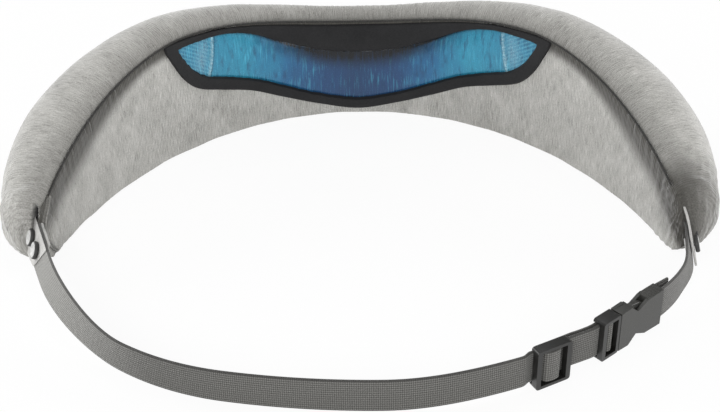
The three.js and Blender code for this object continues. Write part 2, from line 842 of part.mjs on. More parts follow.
function pumpMotor() {
  const can = upright(pumpRadius, -pumpLength, -gap / 2);
  const shaftEnd = upright(1, -pumpLength - 1.2, -pumpLength + 1, 12);
  return mount(join(can, shaftEnd), pumpAt, pumpOut, pumpLevel);
}

function pumpHead() {
  const block = box(-headHalf, headHalf, -headHalf, headHalf, gap / 2, headLength);
  return mount(join(block, port(0, headHalf + portLength, 0, 4)), pumpAt, pumpOut, pumpLevel);
}

function airValve() {
  const block = box(-valveHalf, valveHalf, 0, 6.4, -6, 6);
  const ports = [
    port(-valveHalf - portLength, 0, 3.2, 0),
    port(0, valveHalf + portLength, 3.2, -3.5),
    port(0, valveHalf + portLength, 3.2, 3.5),
  ];
  return mount(join(block, ...ports), valveAt, deck, valveLevel);
}

// A soft tube through places on the wall, as a round section of six sides.
function airTube(places, radius = 1.1) {
  const curve = new THREE.CatmullRomCurve3(places.map((place) => onWall(...place)));
  const section = new THREE.Shape().absarc(0, 0, radius, 0, Math.PI * 2);
  return new THREE.ExtrudeGeometry(section, {
    steps: 4 * places.length,
    extrudePath: curve,
    curveSegments: 3,
    bevelEnabled: false,
  });
}

const tubeOut = deck + 3.2;
const tubeGap = 0.1;
const low = deck + 1.5;
const pumpPort = pumpAt + headHalf + portLength + tubeGap;
const valveIn = valveAt - valveHalf - portLength - tubeGap;
const valveOut = valveAt + valveHalf + portLength + tubeGap;
const stemSide = stemRadius + 1.1 + 2 * gap;

add('pump_motor', pumpMotor(), steel);
add('pump_head', pumpHead(), shellPlastic);
add('air_valve', airValve(), shellPlastic);
add('pump_tube', airTube([
  [pumpPort, pumpOut, pumpLevel + 4], [pumpPort + 3, pumpOut - 0.4, pumpLevel + 3.6],
  [valveIn - 3, tubeOut + 0.3, valveLevel + 0.4], [valveIn, tubeOut, valveLevel],
]), silicone);
add('left_bladder_tube', airTube([
  [valveOut, tubeOut, valveLevel + 3.5], [valveOut + 4, tubeOut - 1, valveLevel + 3],
  [-stemAt - 4, low, stemLevel + 1], [-stemAt - stemSide + 1, low, stemLevel],
]), silicone);
add('right_bladder_tube', airTube([
  [valveOut, tubeOut, valveLevel - 3.5], [valveOut + 4, tubeOut - 1, valveLevel - 5],
  [-stemAt, low, stemLevel - 7], [0, low, stemLevel - 7],
  [stemAt - 7, low, stemLevel - 3], [stemAt - stemSide + 1, low, stemLevel],
]), silicone);

// ---- strap tabs and snaps ----------------------------------------------------------------------------
const postRadius = 0.9;
const washerThick = 0.6;

// One snap: its cap on the outer side, and a post through strap and tab to a washer behind them.
function snap(x, front, back) {
  const profile = [
    [0, 0], [snapRadius, 0], [snapRadius, snapThick * 0.6], [snapRadius * 0.8, snapThick],
    [0, snapThick],
  ].map(([radius, height]) => new THREE.Vector2(radius, height));
  const cap = new THREE.LatheGeometry(profile, 18).rotateX(Math.PI).translate(x, front - gap, 0);
  const post = barAlongY(postRadius, front - gap - 0.3, back + gap + 0.2, x, 0, 10);
  const washer = barAlongY(
    snapRadius * 0.75, back + gap, back + gap + washerThick, x, 0, 14,
  );
  return join(cap, post, washer);
}

function snapBore(x) {
  return barAlongY(postRadius + 0.1, -12, 12, x, 0, 10);
}

const leftSnaps = [0, -snapSpacing];
const rightSnaps = [0, snapSpacing];
const leftBores = leftSnaps.map((x) => inLeftTab(snapBore(x)));
const rightBores = rightSnaps.map((x) => inRightTab(snapBore(x)));

add('left_strap_tab', cut(inLeftTab(tabPlate(1)), ...leftBores), tabSheet);
add('right_strap_tab', cut(inRightTab(tabPlate(-1)), ...rightBores), tabSheet);
['lower', 'upper'].forEach((place, i) => {
  add(`left_${place}_snap`, inLeftTab(snap(leftSnaps[i], capFace, tabThick)), snapMetal);
  add(
    `right_${place}_snap`,
    inRightTab(snap(rightSnaps[i], 0, rightStrapFace + webThick)),
    snapMetal,
  );
});

// ---- webbing --------------------------------------------------------------------------------------
const behind = 1.2; // how far the webbing's middle lies behind the slider's side bars
const over = 1.4; // and in front of its centre bar
const doubled = 1.4; // from the middle of one layer to the middle of the next
const humpEnd = 5.9; // along the strap, from the slider's middle
const straightStep = 5;

// The middle of the webbing rests low round the back, and rises to the snaps and the buckle.
function strapHeight(point) {
  const fromLeft = THREE.MathUtils.smoothstep(-point.x, 80, 112);
  const fromRight = THREE.MathUtils.smoothstep(point.x, 5, 48);
  return restLevel + (leftTabLevel - restLevel) * fromLeft + (strapLevel - restLevel) * fromRight;
}

function alongAdjuster(places) {
  return places.map(([along, out]) => (
    arcPoint(adjusterRadius + out, sliderHeading + degreesOf(along))
  ));
}

function longStrap() {
  const left = [...leftRun.points];
  for (let i = 1; i <= straightStep; i += 1) {
    left.push(beyond(leftRun, ((leftArcToSnap + leftStrapEnd) * i) / straightStep, 0));
  }
  const sliderStart = sliderHeading - degreesOf(sliderLength / 2 + 3);
  const right = spread(0, sliderStart, 8).map((degrees) => arcPoint(adjusterRadius, degrees));
  const hump = alongAdjuster([
    [-sliderLength / 2 - 0.5, -behind], [-4, -behind], [-1.8, over], [0, over + 0.15],
    [1.8, over], [4, -behind], [humpEnd, -behind],
  ]);
  const points = [...left.slice(1).reverse(), ...right, ...hump];
  const level = (i) => strapHeight(points[i]);
  const lean = (i) => leftTabLean * THREE.MathUtils.smoothstep(-points[i].x, 78, 116);
  return cut(ribbon(points, level, lean), ...leftBores);
}

function inPlan(points) {
  const turn = THREE.MathUtils.degToRad(buckleHeading);
  return points.map(([x, y]) => (
    new THREE.Vector2(x, y).rotateAround(new THREE.Vector2(), turn).add(plugOrigin)
  ));
}

// Points round a bar: from one angle to another, in degrees from local X.
function roundBar(x, y, from, to, steps) {
  return spread(from, to, steps).map((degrees) => {
    const angle = THREE.MathUtils.degToRad(degrees);
    return [x + loopRadius * Math.cos(angle), y + loopRadius * Math.sin(angle)];
  });
}

const plugBarAt = 4.8;
const plugBarOut = 0.4;

// The doubled webbing: from the slider over the plug's bar and back to the slider's centre bar.
function adjusterLoop() {
  const first = alongAdjuster([[humpEnd + gap, -behind], [9, -behind], [14, -behind + 0.7]]);
  const round = inPlan([
    [-1.5, 0.3], [2.3, 0.35], ...roundBar(plugBarAt, plugBarOut, 198, 450, 9),
    [2.8, plugBarOut + loopRadius], [-1.5, plugBarOut + loopRadius],
  ]);
  const back = alongAdjuster([
    [14, -behind + 0.7 - doubled], [9, -behind - doubled], [4, -behind - doubled],
    [-0.5, -behind - doubled],
  ]);
  return ribbon([...first, ...round, ...back], () => strapLevel);
}

// The short strap: sewn back on itself round the socket's bar, and out to the right tab.
function shortStrap() {
  const sewn = 11;
  const backLayer = inPlan([
    [endBarAt + sewn, endBarOut + loopRadius - 0.5], [endBarAt + 6, endBarOut + loopRadius - 0.2],
    [endBarAt + 1.5, endBarOut + loopRadius],
  ]);
  const loop = inPlan(roundBar(endBarAt, endBarOut, 90, 270, 8));
  const run = rightRun.points.slice(1);
  const end = spread(0, rightArcToSnap + leftStrapEnd, 3).slice(1)
    .map((length) => beyond(rightRun, length, 0));
  const points = [...backLayer, ...loop, ...run, ...end];
  const leanFrom = rightTabAt.y - 22;
  const leanTo = rightTabAt.y - 6;
  const lean = (i) => rightTabLean * THREE.MathUtils.smoothstep(points[i].y, leanFrom, leanTo);
  return cut(ribbon(points, () => strapLevel, lean), ...rightBores);
}

add('long_strap', longStrap(), webbing);
add('adjuster_loop', adjusterLoop(), webbing);
add('short_strap', shortStrap(), webbing);

// ---- slider ------------------------------------------------------------------------------------------
function slider() {
  const half = sliderLength / 2;
  const body = plate(
    roundedRectangle(sliderLength, sliderHeight, 1.2, 0, sliderHeight / 2), -2.3, 1.5, 3,
  );
  const window = box(-half + sliderBar, half - sliderBar, -5, 5, sliderRail, sliderHeight - sliderRail);
  const tunnel = box(-half - 1, half + 1, 0.3, 5, sliderRail, sliderHeight - sliderRail);
  const centreBar = box(-0.9, 0.9, -0.4, 1.5, sliderRail - 0.5, sliderHeight - sliderRail + 0.5);
  return inSlider(join(cut(body, window, tunnel), centreBar));
}

add('slider', slider(), buckleNylon);

// ---- buckle plug -------------------------------------------------------------------------------------
const plugBar = 1.9;
const thickHalf = buckleThick / 2;
const tongueLength = 13;
const tongueHalf = 1.2;
const tongueThick = 1.0;
const armRoot = plugBaseLength + gap;
const armLevel = buckleHeight / 2 - 3.4; // from the middle of the buckle to the middle of an arm
const armThick = 1.0;
const mouthLength = 6;

function buckleBar(x, y) {
  return new THREE.CylinderGeometry(barRadius, barRadius, buckleHeight - 2, 12)
    .rotateX(Math.PI / 2)
    .translate(x, y, buckleHeight / 2);
}

function bucklePlug() {
  const middle = buckleHeight / 2;
  const body = plate(
    roundedRectangle(plugBaseLength, buckleHeight, 1, plugBaseLength / 2, middle),
    -thickHalf, thickHalf, 3,
  );
  const slot = box(plugBar, plugBaseLength - 1.3, -5, 5, plugRail, buckleHeight - plugRail);
  const tunnel = box(-1, plugBar + 1, -0.4, 5, plugRail, buckleHeight - plugRail);
  const tongue = box(
    plugBaseLength - 0.5, plugBaseLength + tongueLength, -tongueThick, tongueThick,
    middle - tongueHalf, middle + tongueHalf,
  );
  return inBuckle(join(cut(body, slot, tunnel), buckleBar(plugBarAt, plugBarOut), tongue));
}

// An arm runs from its root beside the plug base to its tip; the grip stands out through the side
// window of the socket, and its shoulder faces the socket's mouth wall.
function buckleArm(side) {
  const shoulder = socketStart + mouthLength + gap;
  const top = buckleHeight / 2 - 0.7;
  const points = [
    [armRoot, armLevel - 0.9], [shoulder, armLevel - 0.9], [shoulder + 5.5, armLevel - 1.2],
    [shoulder + 7, armLevel - 0.6], [shoulder + 7, armLevel + 0.6], [shoulder + 4.2, top - 0.6],
    [shoulder + 1.4, top], [shoulder, top], [shoulder, armLevel + 0.9], [armRoot, armLevel + 0.9],
  ];
  const shape = new THREE.Shape(
    points.map(([x, z]) => new THREE.Vector2(x, buckleHeight / 2 + side * z)),
  );
  return inBuckle(plate(shape, -armThick, armThick));
}

add('buckle_plug', bucklePlug(), buckleNylon);
add('upper_buckle_arm', buckleArm(1), buckleNylon);
add('lower_buckle_arm', buckleArm(-1), buckleNylon);

// ---- buckle socket -----------------------------------------------------------------------------------
const plateThick = 1.2;
const endBlockLength = 8;
const railInset = 0.6;
const railThick = 0.9;

function socketFace(y0, y1, length) {
  const start = socketStart;
  const shoulder = start + mouthLength;
  const middle = buckleHeight / 2;
  const half = [
    [start, middle - 0.2], [shoulder - 1, middle], [shoulder + 2.6, middle - 3.2],
    [shoulder + 7.4, middle - 0.9], [start + length, middle - railInset],
  ];
  const points = [
    ...half.map(([x, z]) => [x, middle + z]),
    ...half.map(([x, z]) => [x, middle - z]).reverse(),
  ];
  return plate(new THREE.Shape(points.map(([x, z]) => new THREE.Vector2(x, z))), y0, y1);
}

function buckleSocket() {
  const start = socketStart;
  const end = start + socketLength;
  const block = end - endBlockLength;
  const inner = thickHalf - 0.2;
  const front = socketFace(-thickHalf, -thickHalf + plateThick, socketLength);
  const back = socketFace(thickHalf - plateThick, thickHalf, socketLength - endBlockLength + 1.5);
  const mouthRing = cut(
    box(start, start + mouthLength, -inner, inner, railInset - 0.3, buckleHeight - railInset + 0.3),
    box(
      start - 1, start + mouthLength + 1, -thickHalf + plateThick, thickHalf - plateThick,
      railInset + railThick, buckleHeight - railInset - railThick,
    ),
  );
  const rails = [
    box(block, end, -inner, inner, railInset, railInset + railThick),
    box(block, end, -inner, inner, buckleHeight - railInset - railThick, buckleHeight - railInset),
  ];
  const stop = box(block, block + 1.2, -inner, inner, railInset, buckleHeight - railInset);
  const bar = buckleBar(endBarAt, endBarOut);
  return inBuckle(join(front, back, mouthRing, ...rails, stop, bar));
}

add('buckle_socket', buckleSocket(), buckleNylon);

// ---- origin: the middle of the box's underside -------------------------------------------------------
const bounds = new THREE.Box3().setFromObject(mask);
const centre = bounds.getCenter(new THREE.Vector3());
mask.position.set(-centre.x, -centre.y, -bounds.min.z);

export default mask;
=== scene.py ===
import math

import bmesh
import bpy
import numpy as np
from mathutils import Matrix, Vector


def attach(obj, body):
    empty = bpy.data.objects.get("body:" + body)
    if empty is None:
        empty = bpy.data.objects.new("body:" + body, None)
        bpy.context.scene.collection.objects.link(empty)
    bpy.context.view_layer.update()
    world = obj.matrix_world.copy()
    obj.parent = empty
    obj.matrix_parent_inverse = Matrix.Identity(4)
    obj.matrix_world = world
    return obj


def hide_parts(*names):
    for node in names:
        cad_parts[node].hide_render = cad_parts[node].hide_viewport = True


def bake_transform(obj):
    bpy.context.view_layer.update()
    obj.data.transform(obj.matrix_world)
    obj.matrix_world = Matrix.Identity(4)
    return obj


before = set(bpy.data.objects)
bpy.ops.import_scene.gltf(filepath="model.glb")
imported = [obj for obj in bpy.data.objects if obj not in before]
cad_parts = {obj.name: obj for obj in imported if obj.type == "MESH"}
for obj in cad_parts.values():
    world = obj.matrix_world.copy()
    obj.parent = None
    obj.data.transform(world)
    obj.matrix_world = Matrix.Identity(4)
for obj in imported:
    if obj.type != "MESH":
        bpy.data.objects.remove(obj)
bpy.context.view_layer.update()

# ---- studio ----
# A camera a little above the back of the head, a white floor in a white surrounding, two soft lamps
# on the camera's side, a rim lamp at each side and a weak one overhead.
AIM = Vector((0.0, 0.01573, 0.0))
TILT = math.radians(34.0)
REACH = 0.548
ROLL = math.radians(-0.9)

scene = bpy.context.scene
scene.view_settings.view_transform = "Standard"
lens = bpy.data.cameras.new("studio_camera")
lens.lens, lens.sensor_width, lens.clip_start = 70.0, 36.0, 0.01
camera = bpy.data.objects.new("studio_camera", lens)
back = Vector((0, -math.cos(TILT), math.sin(TILT)))
camera.location = AIM + back * REACH
turn = (-back).to_track_quat("-Z", "Y").to_matrix() @ Matrix.Rotation(ROLL, 3, "Z")
camera.rotation_euler = turn.to_euler()
scene.collection.objects.link(camera)
scene.camera = camera


def lamp(name, place, aim, size, power):
    """A square soft lamp at place that points at aim."""
    data = bpy.data.lights.new(name, "AREA")
    data.size, data.energy = size, power
    obj = bpy.data.objects.new(name, data)
    obj.location = place
    obj.rotation_euler = (Vector(aim) - Vector(place)).to_track_quat("-Z", "Y").to_euler()
    scene.collection.objects.link(obj)


lamp("key", (-0.35, -1.1, 0.75), (0, 0, 0.02), 0.7, 9.5)
lamp("fill", (0.75, -1.05, 0.38), (0, 0, 0.02), 0.8, 4.5)
lamp("left_rim", (-1.1, 0.45, 0.40), (-0.05, 0, 0.02), 0.6, 9.0)
lamp("right_rim", (1.1, 0.45, 0.40), (0.05, 0, 0.02), 0.6, 8.0)
lamp("top", (0, 0.5, 1.2), (0, 0, 0), 0.8, 3.0)


class Value:
    """A socket of a material; arithmetic on it adds Math nodes."""

    def __init__(self, finish, socket):
        self.finish, self.socket = finish, socket

    def math(self, operation, *others):
        inputs = dict(enumerate((self, *others)))
        return self.finish.add("ShaderNodeMath", {"operation": operation}, inputs)

    def __add__(self, other):
        return self.math("ADD", other)

    __radd__ = __add__

    def __sub__(self, other):
        return self.math("SUBTRACT", other)

    def __rsub__(self, other):
        return self * -1.0 + other

    def __mul__(self, other):
        return self.math("MULTIPLY", other)

    __rmul__ = __mul__

    def held(self):
        """The value kept between 0 and 1."""
        return self.math("MAXIMUM", 0.0).math("MINIMUM", 1.0)

    def step(self, low, high):
        """0 below low, 1 above high and a smooth rise between them."""
        settings = {"interpolation_type": "SMOOTHSTEP"}
        return self.finish.add("ShaderNodeMapRange", settings, {0: self, 1: low, 2: high})


class Finish:
    """A material with one Principled shader, and one method that adds any other node."""

    def __init__(self, name, **constants):
        self.material = bpy.data.materials.new(name)
        self.material.use_nodes = True
        self.tree = self.material.node_tree
        self.shader = self.tree.nodes["Principled BSDF"]
        for key, value in constants.items():
            self.shader.inputs[key.replace("_", " ")].default_value = value

    def add(self, kind, settings=None, inputs=None, output=0):
        node = self.tree.nodes.new(kind)
        for key, value in (settings or {}).items():
            if key == "stops":
                self.ramp(node.color_ramp, value)
            else:
                setattr(node, key, value)
        for key, value in (inputs or {}).items():
            if isinstance(value, Value):
                self.tree.links.new(value.socket, node.inputs[key])
            else:
                node.inputs[key].default_value = value
        return Value(self, node.outputs[output])

    def ramp(self, ramp, stops):
        while len(ramp.elements) < len(stops):
            ramp.elements.new(0.5)
        for element, (place, colour) in zip(ramp.elements, stops):
            element.position = place
            element.color = (*colour, 1)

    def drive(self, **links):
        for key, value in links.items():
            self.tree.links.new(value.socket, self.shader.inputs[key.replace("_", " ")])

    def uv(self):
        """The along and across places of the piece's own UV map, in millimetres."""
        place = self.add("ShaderNodeUVMap", {"uv_map": "pattern"})
        along = self.add("ShaderNodeSeparateXYZ", inputs={0: place})
        across = self.add("ShaderNodeSeparateXYZ", inputs={0: place}, output=1)
        return along, across

    def painted(self, name):
        """A number stored at the points of the mesh."""
        return self.add("ShaderNodeAttribute", {"attribute_name": name}, output=2)

    def point(self, x=0.0, y=0.0, z=0.0):
        return self.add("ShaderNodeCombineXYZ", inputs={0: x, 1: y, 2: z})

    def noise(self, place, scale, detail=2.0, roughness=0.5):
        inputs = {"Vector": place, "Scale": scale, "Detail": detail, "Roughness": roughness}
        return self.add("ShaderNodeTexNoise", inputs=inputs)

    def shade(self, value, stops):
        """A colour ramp read at value."""
        return self.add("ShaderNodeValToRGB", {"stops": stops}, {0: value})

    def mix(self, share, first, second, blend="MIX"):
        settings = {"data_type": "RGBA", "blend_type": blend}
        inputs = {0: share, 6: first, 7: second}
        return self.add("ShaderNodeMix", settings, inputs, output=2)

    def object_place(self):
        return self.add("ShaderNodeTexCoord", output=3)

    def bump(self, height, distance, strength=1.0):
        inputs = {"Height": height, "Distance": distance, "Strength": strength}
        self.drive(Normal=self.add("ShaderNodeBump", inputs=inputs))


def surface(name, grid, finish, pattern=None, wrap=False, joined=False, capped=False, smooth=35):
    """A mesh through a grid of points (rows, columns, 3). wrap joins the last column to the
    first, joined the last row to the first, and capped closes the first and last rows. pattern
    gives UV in mm, with one more column or row than the grid where it wraps or joins. Faces are
    turned so that they enclose a positive volume."""
    rows, columns = grid.shape[:2]
    across, down = columns - (not wrap), rows - (not joined)
    i, j = np.meshgrid(np.arange(down), np.arange(across), indexing="ij")
    k, m = (j + 1) % columns, (i + 1) % rows
    quads = np.stack([i * columns + j, i * columns + k, m * columns + k, m * columns + j], -1)
    quads = quads.reshape(-1, 4)
    points = grid.reshape(-1, 3)
    if pattern is None:
        step = np.linalg.norm(np.diff(grid[:, :1], axis=0, append=grid[:1, :1]), axis=-1)
        pattern = np.zeros((down + 1, across + 1, 2))
        pattern[1:, :, 0] = np.cumsum(step[:down], axis=0) * 1000
        pattern[..., 1] = np.linspace(0, 1, across + 1)[None]
    width = pattern.shape[1]
    flat = pattern.reshape(-1, 2)
    corners = np.stack([i * width + j, i * width + j + 1, (i + 1) * width + j + 1,
                        (i + 1) * width + j], -1).reshape(-1, 4)
    a, b, c, d = (points[quads[:, n]] for n in range(4))
    volume = np.einsum("ij,ij->", a, np.cross(b, c)) + np.einsum("ij,ij->", a, np.cross(c, d))
    faces = quads.tolist()
    places = flat[corners.ravel()]
    if capped:
        first, end = list(range(columns)), list(range((rows - 1) * columns, rows * columns))
        faces += [first[::-1], end]
        places = np.vstack([places, flat[:columns][::-1], flat[(rows - 1) * width:][:columns]])
    if volume < 0:
        faces = [face[::-1] for face in faces]
        ends = np.cumsum([len(face) for face in faces])
        turned = np.concatenate([np.arange(e - 1, e - 1 - len(f), -1)
                                 for e, f in zip(ends, faces)])
        places = places[turned]
    return piece_of(name, points, faces, finish, places, smooth)


def piece_of(name, points, faces, finish, places=None, smooth=35):
    """An object at the origin from points and faces, smooth up to an angle in degrees."""
    mesh = bpy.data.meshes.new(name)
    mesh.from_pydata(np.asarray(points).tolist(), [], faces)
    if places is not None:
        layer = mesh.uv_layers.new(name="pattern")
        layer.uv.foreach_set("vector", np.asarray(places, np.float32).ravel())
    mesh.materials.append(finish.material)
    mesh.shade_smooth()
    mesh.set_sharp_from_angle(angle=math.radians(smooth))
    obj = bpy.data.objects.new(name, mesh)
    scene.collection.objects.link(obj)
    return obj


floor_finish = Finish("studio_floor", Base_Color=(0.93, 0.93, 0.93, 1), Roughness=0.85)
glow = floor_finish.add("ShaderNodeEmission", inputs={"Color": (1, 1, 1, 1), "Strength": 1.0})
seen = [floor_finish.add("ShaderNodeLightPath", output=name)
        for name in ("Is Camera Ray", "Is Glossy Ray", "Is Transmission Ray")]
share = (seen[0] + seen[1] + seen[2]).held() * 0.92
shown = floor_finish.add(
    "ShaderNodeMixShader", inputs={0: share, 1: Value(floor_finish, floor_finish.shader.outputs[0]),
                                   2: glow})
floor_finish.tree.links.new(shown.socket, floor_finish.tree.nodes["Material Output"].inputs[0])
side = np.linspace(-6, 6, 3)
flat_x, flat_y = np.meshgrid(side, side, indexing="ij")
floor = surface("studio_floor", np.stack([flat_x, flat_y, np.full_like(flat_x, -0.0004)], -1),
                floor_finish)

world = bpy.data.worlds.new("studio_world")
scene.world = world
world.use_nodes = True
sky = world.node_tree.nodes["Background"]
sky.inputs["Color"].default_value = (1, 1, 1, 1)
paths = world.node_tree.nodes.new("ShaderNodeLightPath")
any_view = world.node_tree.nodes.new("ShaderNodeMath")
any_view.operation = "MAXIMUM"
level = world.node_tree.nodes.new("ShaderNodeMapRange")
level.inputs["To Min"].default_value = 0.26
level.inputs["To Max"].default_value = 1.0
world.node_tree.links.new(paths.outputs["Is Camera Ray"], any_view.inputs[0])
world.node_tree.links.new(paths.outputs["Is Transmission Ray"], any_view.inputs[1])
world.node_tree.links.new(any_view.outputs[0], level.inputs["Value"])
world.node_tree.links.new(level.outputs[0], sky.inputs["Strength"])

# ---- padded cushion ----
# The body of the mask: foam bolsters and a face pad in one stretched cover of heather knit. The
# face side is an upright curved wall; the front swells out of it and closes round both ends. The
# stitched seam pulls the knit into fine puckers.
FACE_HALF_WIDTH = 0.1217
FACE_REACH = 0.1583
FACE_CENTRE_Y = -0.06967
PANEL_HALF = 0.163
NOSE = 0.009
END_SHARE = 0.2
BULGE = 2.2
SWELL = 0.58

swing = np.linspace(-math.radians(100), math.radians(100), 8001)
curve = np.stack([FACE_HALF_WIDTH * np.sin(swing), FACE_REACH * np.cos(swing)], -1)
lengths = np.concatenate([[0], np.cumsum(np.linalg.norm(np.diff(curve, axis=0), axis=1))])
lengths -= lengths[-1] / 2


def on_wall(along, out, up):
    """Points on the face wall: a distance along an ellipse from its middle, a distance out
    along its normal towards the front, and a height, all in metres."""
    angle = np.interp(along, lengths, swing)
    tangent = np.stack([FACE_HALF_WIDTH * np.cos(angle), -FACE_REACH * np.sin(angle)], -1)
    tangent /= np.linalg.norm(tangent, axis=-1, keepdims=True)
    x = FACE_HALF_WIDTH * np.sin(angle) - tangent[..., 1] * out
    y = FACE_CENTRE_Y + FACE_REACH * np.cos(angle) + tangent[..., 0] * out
    return np.stack(np.broadcast_arrays(x, y, up), -1)


def mask_height(along):
    """Height of the seam: a sine-squared rise from the nose notch to the temple, then a fall by a
    power law to the end."""
    reach = np.abs(along)
    rise = 0.044 + 0.008 * np.sin(np.pi / 2 * np.minimum(reach / 0.077, 1)) ** 2
    fall = np.clip((reach - 0.077) / (PANEL_HALF - 0.077), 0, 1) ** 1.6
    return rise - 0.026 * fall


def mask_depth(along):
    """Depth of the padding: a sine-squared rise from the nose notch to the temple, then a
    parabolic fall to the end."""
    reach = np.abs(along)
    rise = 0.014 + 0.0205 * np.sin(np.pi / 2 * np.minimum(reach / 0.118, 1)) ** 2
    fall = np.clip((reach - 0.118) / (PANEL_HALF - 0.118), 0, 1) ** 2
    return rise - 0.014 * fall


def smooth(low, high, value):
    """0 below low, 1 above high, and the cubic smoothstep between them."""
    share = np.clip((value - low) / (high - low), 0, 1)
    return share * share * (3 - 2 * share)


def ripple(along, across, waves, seed, count=26, slant=0.12):
    """Smooth irregular ripples between -1 and 1: a sum of sines whose wavelengths, in metres, lie
    between the two in waves, each running nearly along the seam."""
    dice = np.random.default_rng(seed)
    total = np.zeros(np.broadcast(along, across).shape)
    for _ in range(count):
        turns = 2 * np.pi / dice.uniform(*waves)
        lean = dice.normal(0, slant)
        total = total + np.sin(turns * (along + lean * across) + dice.uniform(0, 2 * np.pi))
    return total / math.sqrt(count)


def spline(points, samples, closed=False):
    """A Catmull-Rom curve through points, with that many samples in each span."""
    points = np.asarray(points, float)
    if closed:
        padded = np.vstack([points[-1:], points, points[:2]])
    else:
        padded = np.vstack([2 * points[:1] - points[1:2], points, 2 * points[-1:] - points[-2:-1]])
    t = np.linspace(0, 1, samples, endpoint=False)[None, :, None]
    a, b, c, d = (padded[n:len(padded) - 3 + n, None] for n in range(4))
    spans = 0.5 * (2 * b + (c - a) * t + (2 * a - 5 * b + 4 * c - d) * t ** 2
                   + (3 * b - a - 3 * c + d) * t ** 3)
    flat = spans.reshape(-1, points.shape[1])
    return flat if closed else np.vstack([flat, points[-1:]])


# the window's border and its film, from the middle of the lower edge round the right tip to the
# middle of the upper edge: distance along the wall and height, in millimetres
BORDER = [(0, 2.6), (17, 6), (33, 12), (46, 18), (60, 22.6), (71, 27), (78, 34), (83, 43),
          (86, 49.6), (84, 50.6), (75, 50.6), (60, 49.6), (45, 47.4), (30, 44.9), (15, 42.9),
          (0, 42.3)]
FILM = [(0, 7.1), (17, 10.4), (31, 16.3), (43, 22), (56, 26.8), (66, 30.4), (72.5, 35.6),
        (76.5, 41.5), (79, 46.6), (77.5, 47.8), (70, 48), (58, 47.7), (46, 44.4), (31, 36.8),
        (15, 30.5), (0, 28.9)]


def whole_outline(half):
    """The closed outline in metres, from a half outline and its mirror image."""
    half = np.array(half, float) / 1000
    mirrored = half[-2:0:-1] * (-1, 1)
    return spline(np.vstack([half, mirrored]), 14, closed=True)


border_line, film_line = whole_outline(BORDER), whole_outline(FILM)


def edges_of(line, along):
    """The lower and upper heights of a closed outline at distances along the wall."""
    count = len(line) // 2
    right = line[:count + 1]
    tip = np.argmax(right[:, 0])
    reach = np.minimum(np.abs(along), right[tip, 0])
    low = np.interp(reach, right[:tip + 1, 0], right[:tip + 1, 1])
    high = np.interp(reach, right[tip:, 0][::-1], right[tip:, 1][::-1])
    return low, high


def cushion_grid():
    """Rings of the padding from one end to the other. A ring goes from the top seam over a
    superelliptic front, whose middle lies out from the face, to the underside, back flat to the
    face and up it. Past the panel's ends the rings shrink as a quarter circle does."""
    turned = np.radians(np.linspace(0, 89, 24)[1:])
    body = np.linspace(-PANEL_HALF, PANEL_HALF, 392)
    squeeze = np.concatenate([np.cos(turned)[::-1], np.ones(body.size), np.cos(turned)])
    ends = PANEL_HALF + NOSE * np.sin(turned)
    along = np.concatenate([-ends[::-1], body, ends])[:, None]
    base = np.clip(along, -PANEL_HALF, PANEL_HALF)
    height, depth = mask_height(base), mask_depth(base)
    half = height / 2
    half_depth = depth / (1 + SWELL)
    middle = depth - half_depth
    above = half / (1 - SWELL ** BULGE) ** (1 / BULGE)
    first = -math.asin(SWELL ** (BULGE / 2))
    arc = np.linspace(first, np.pi, 112)[None]
    sine, cosine = np.sin(arc), np.cos(arc)
    over = middle + half_depth * np.sign(sine) * np.abs(sine) ** (2 / BULGE)
    rise = np.sign(cosine) * np.abs(cosine) ** (2 / BULGE)
    tall = half + np.where(cosine > 0, above, half) * rise
    under = middle * np.linspace(1, 0, 12)[None, 1:]
    face = np.linspace(0, 1, 76)[None, 1:-1]
    out = np.concatenate([over, under, 0 * height + 0 * face], 1)
    up = np.concatenate([tall, 0 * under, face * height], 1)
    low, high = edges_of(film_line, base)
    level = face * height
    inside = np.minimum(level - low, high - level) + 0.0022
    inside = np.minimum(inside, 0.0805 - np.abs(base))
    out[:, -face.size:] = 0.0022 * smooth(0, 0.0012, inside)
    end_out, end_up = depth * END_SHARE, height * END_SHARE
    out = end_out + (out - end_out) * squeeze[:, None]
    up = end_up + (up - end_up) * squeeze[:, None]
    return on_wall(along, out, up), along, out, up, arc.size + under.shape[1] - 1


grid, along, out, up, seam_column = cushion_grid()
rows, columns = grid.shape[:2]
wrapped = np.concatenate([grid, grid[:, :1]], 1)
around = np.zeros((rows, columns + 1))
around[:, 1:] = np.cumsum(np.linalg.norm(np.diff(wrapped, axis=1), axis=-1), axis=1)
ahead = np.gradient(grid, axis=0)
beside = np.roll(grid, -1, 1) - np.roll(grid, 1, 1)
normal = np.cross(beside, ahead)
normal /= np.maximum(np.linalg.norm(normal, axis=-1, keepdims=True), 1e-9)
centre = grid.mean(1, keepdims=True)
if np.einsum("ijk,ijk->", normal, grid - centre) < 0:
    normal = -normal
whole = around[:, -1:]
to_top = np.minimum(around[:, :-1], whole - around[:, :-1])
to_low = np.abs(around[:, :-1] - around[:, seam_column:seam_column + 1])
on_face = np.zeros((rows, columns))
on_face[:, seam_column:] = 1
pinch = -0.0011 * np.exp(-to_top / 0.0014) - 0.0003 * np.exp(-to_low / 0.0016)
gather = 0.00022 * np.exp(-to_top / 0.007) + 0.00003 * np.exp(-to_low / 0.006)
fine = ripple(along, around[:, :-1], (0.0016, 0.0042), 11)
broad = ripple(along, around[:, :-1], (0.012, 0.04), 5, slant=0.5)
at_end = np.clip((np.abs(along) - 0.146) / 0.02, 0, 1)
creases = ripple(along, around[:, :-1], (0.004, 0.011), 23, slant=0.8)
push = pinch + gather * fine + 0.00010 * broad + 0.00030 * at_end * creases

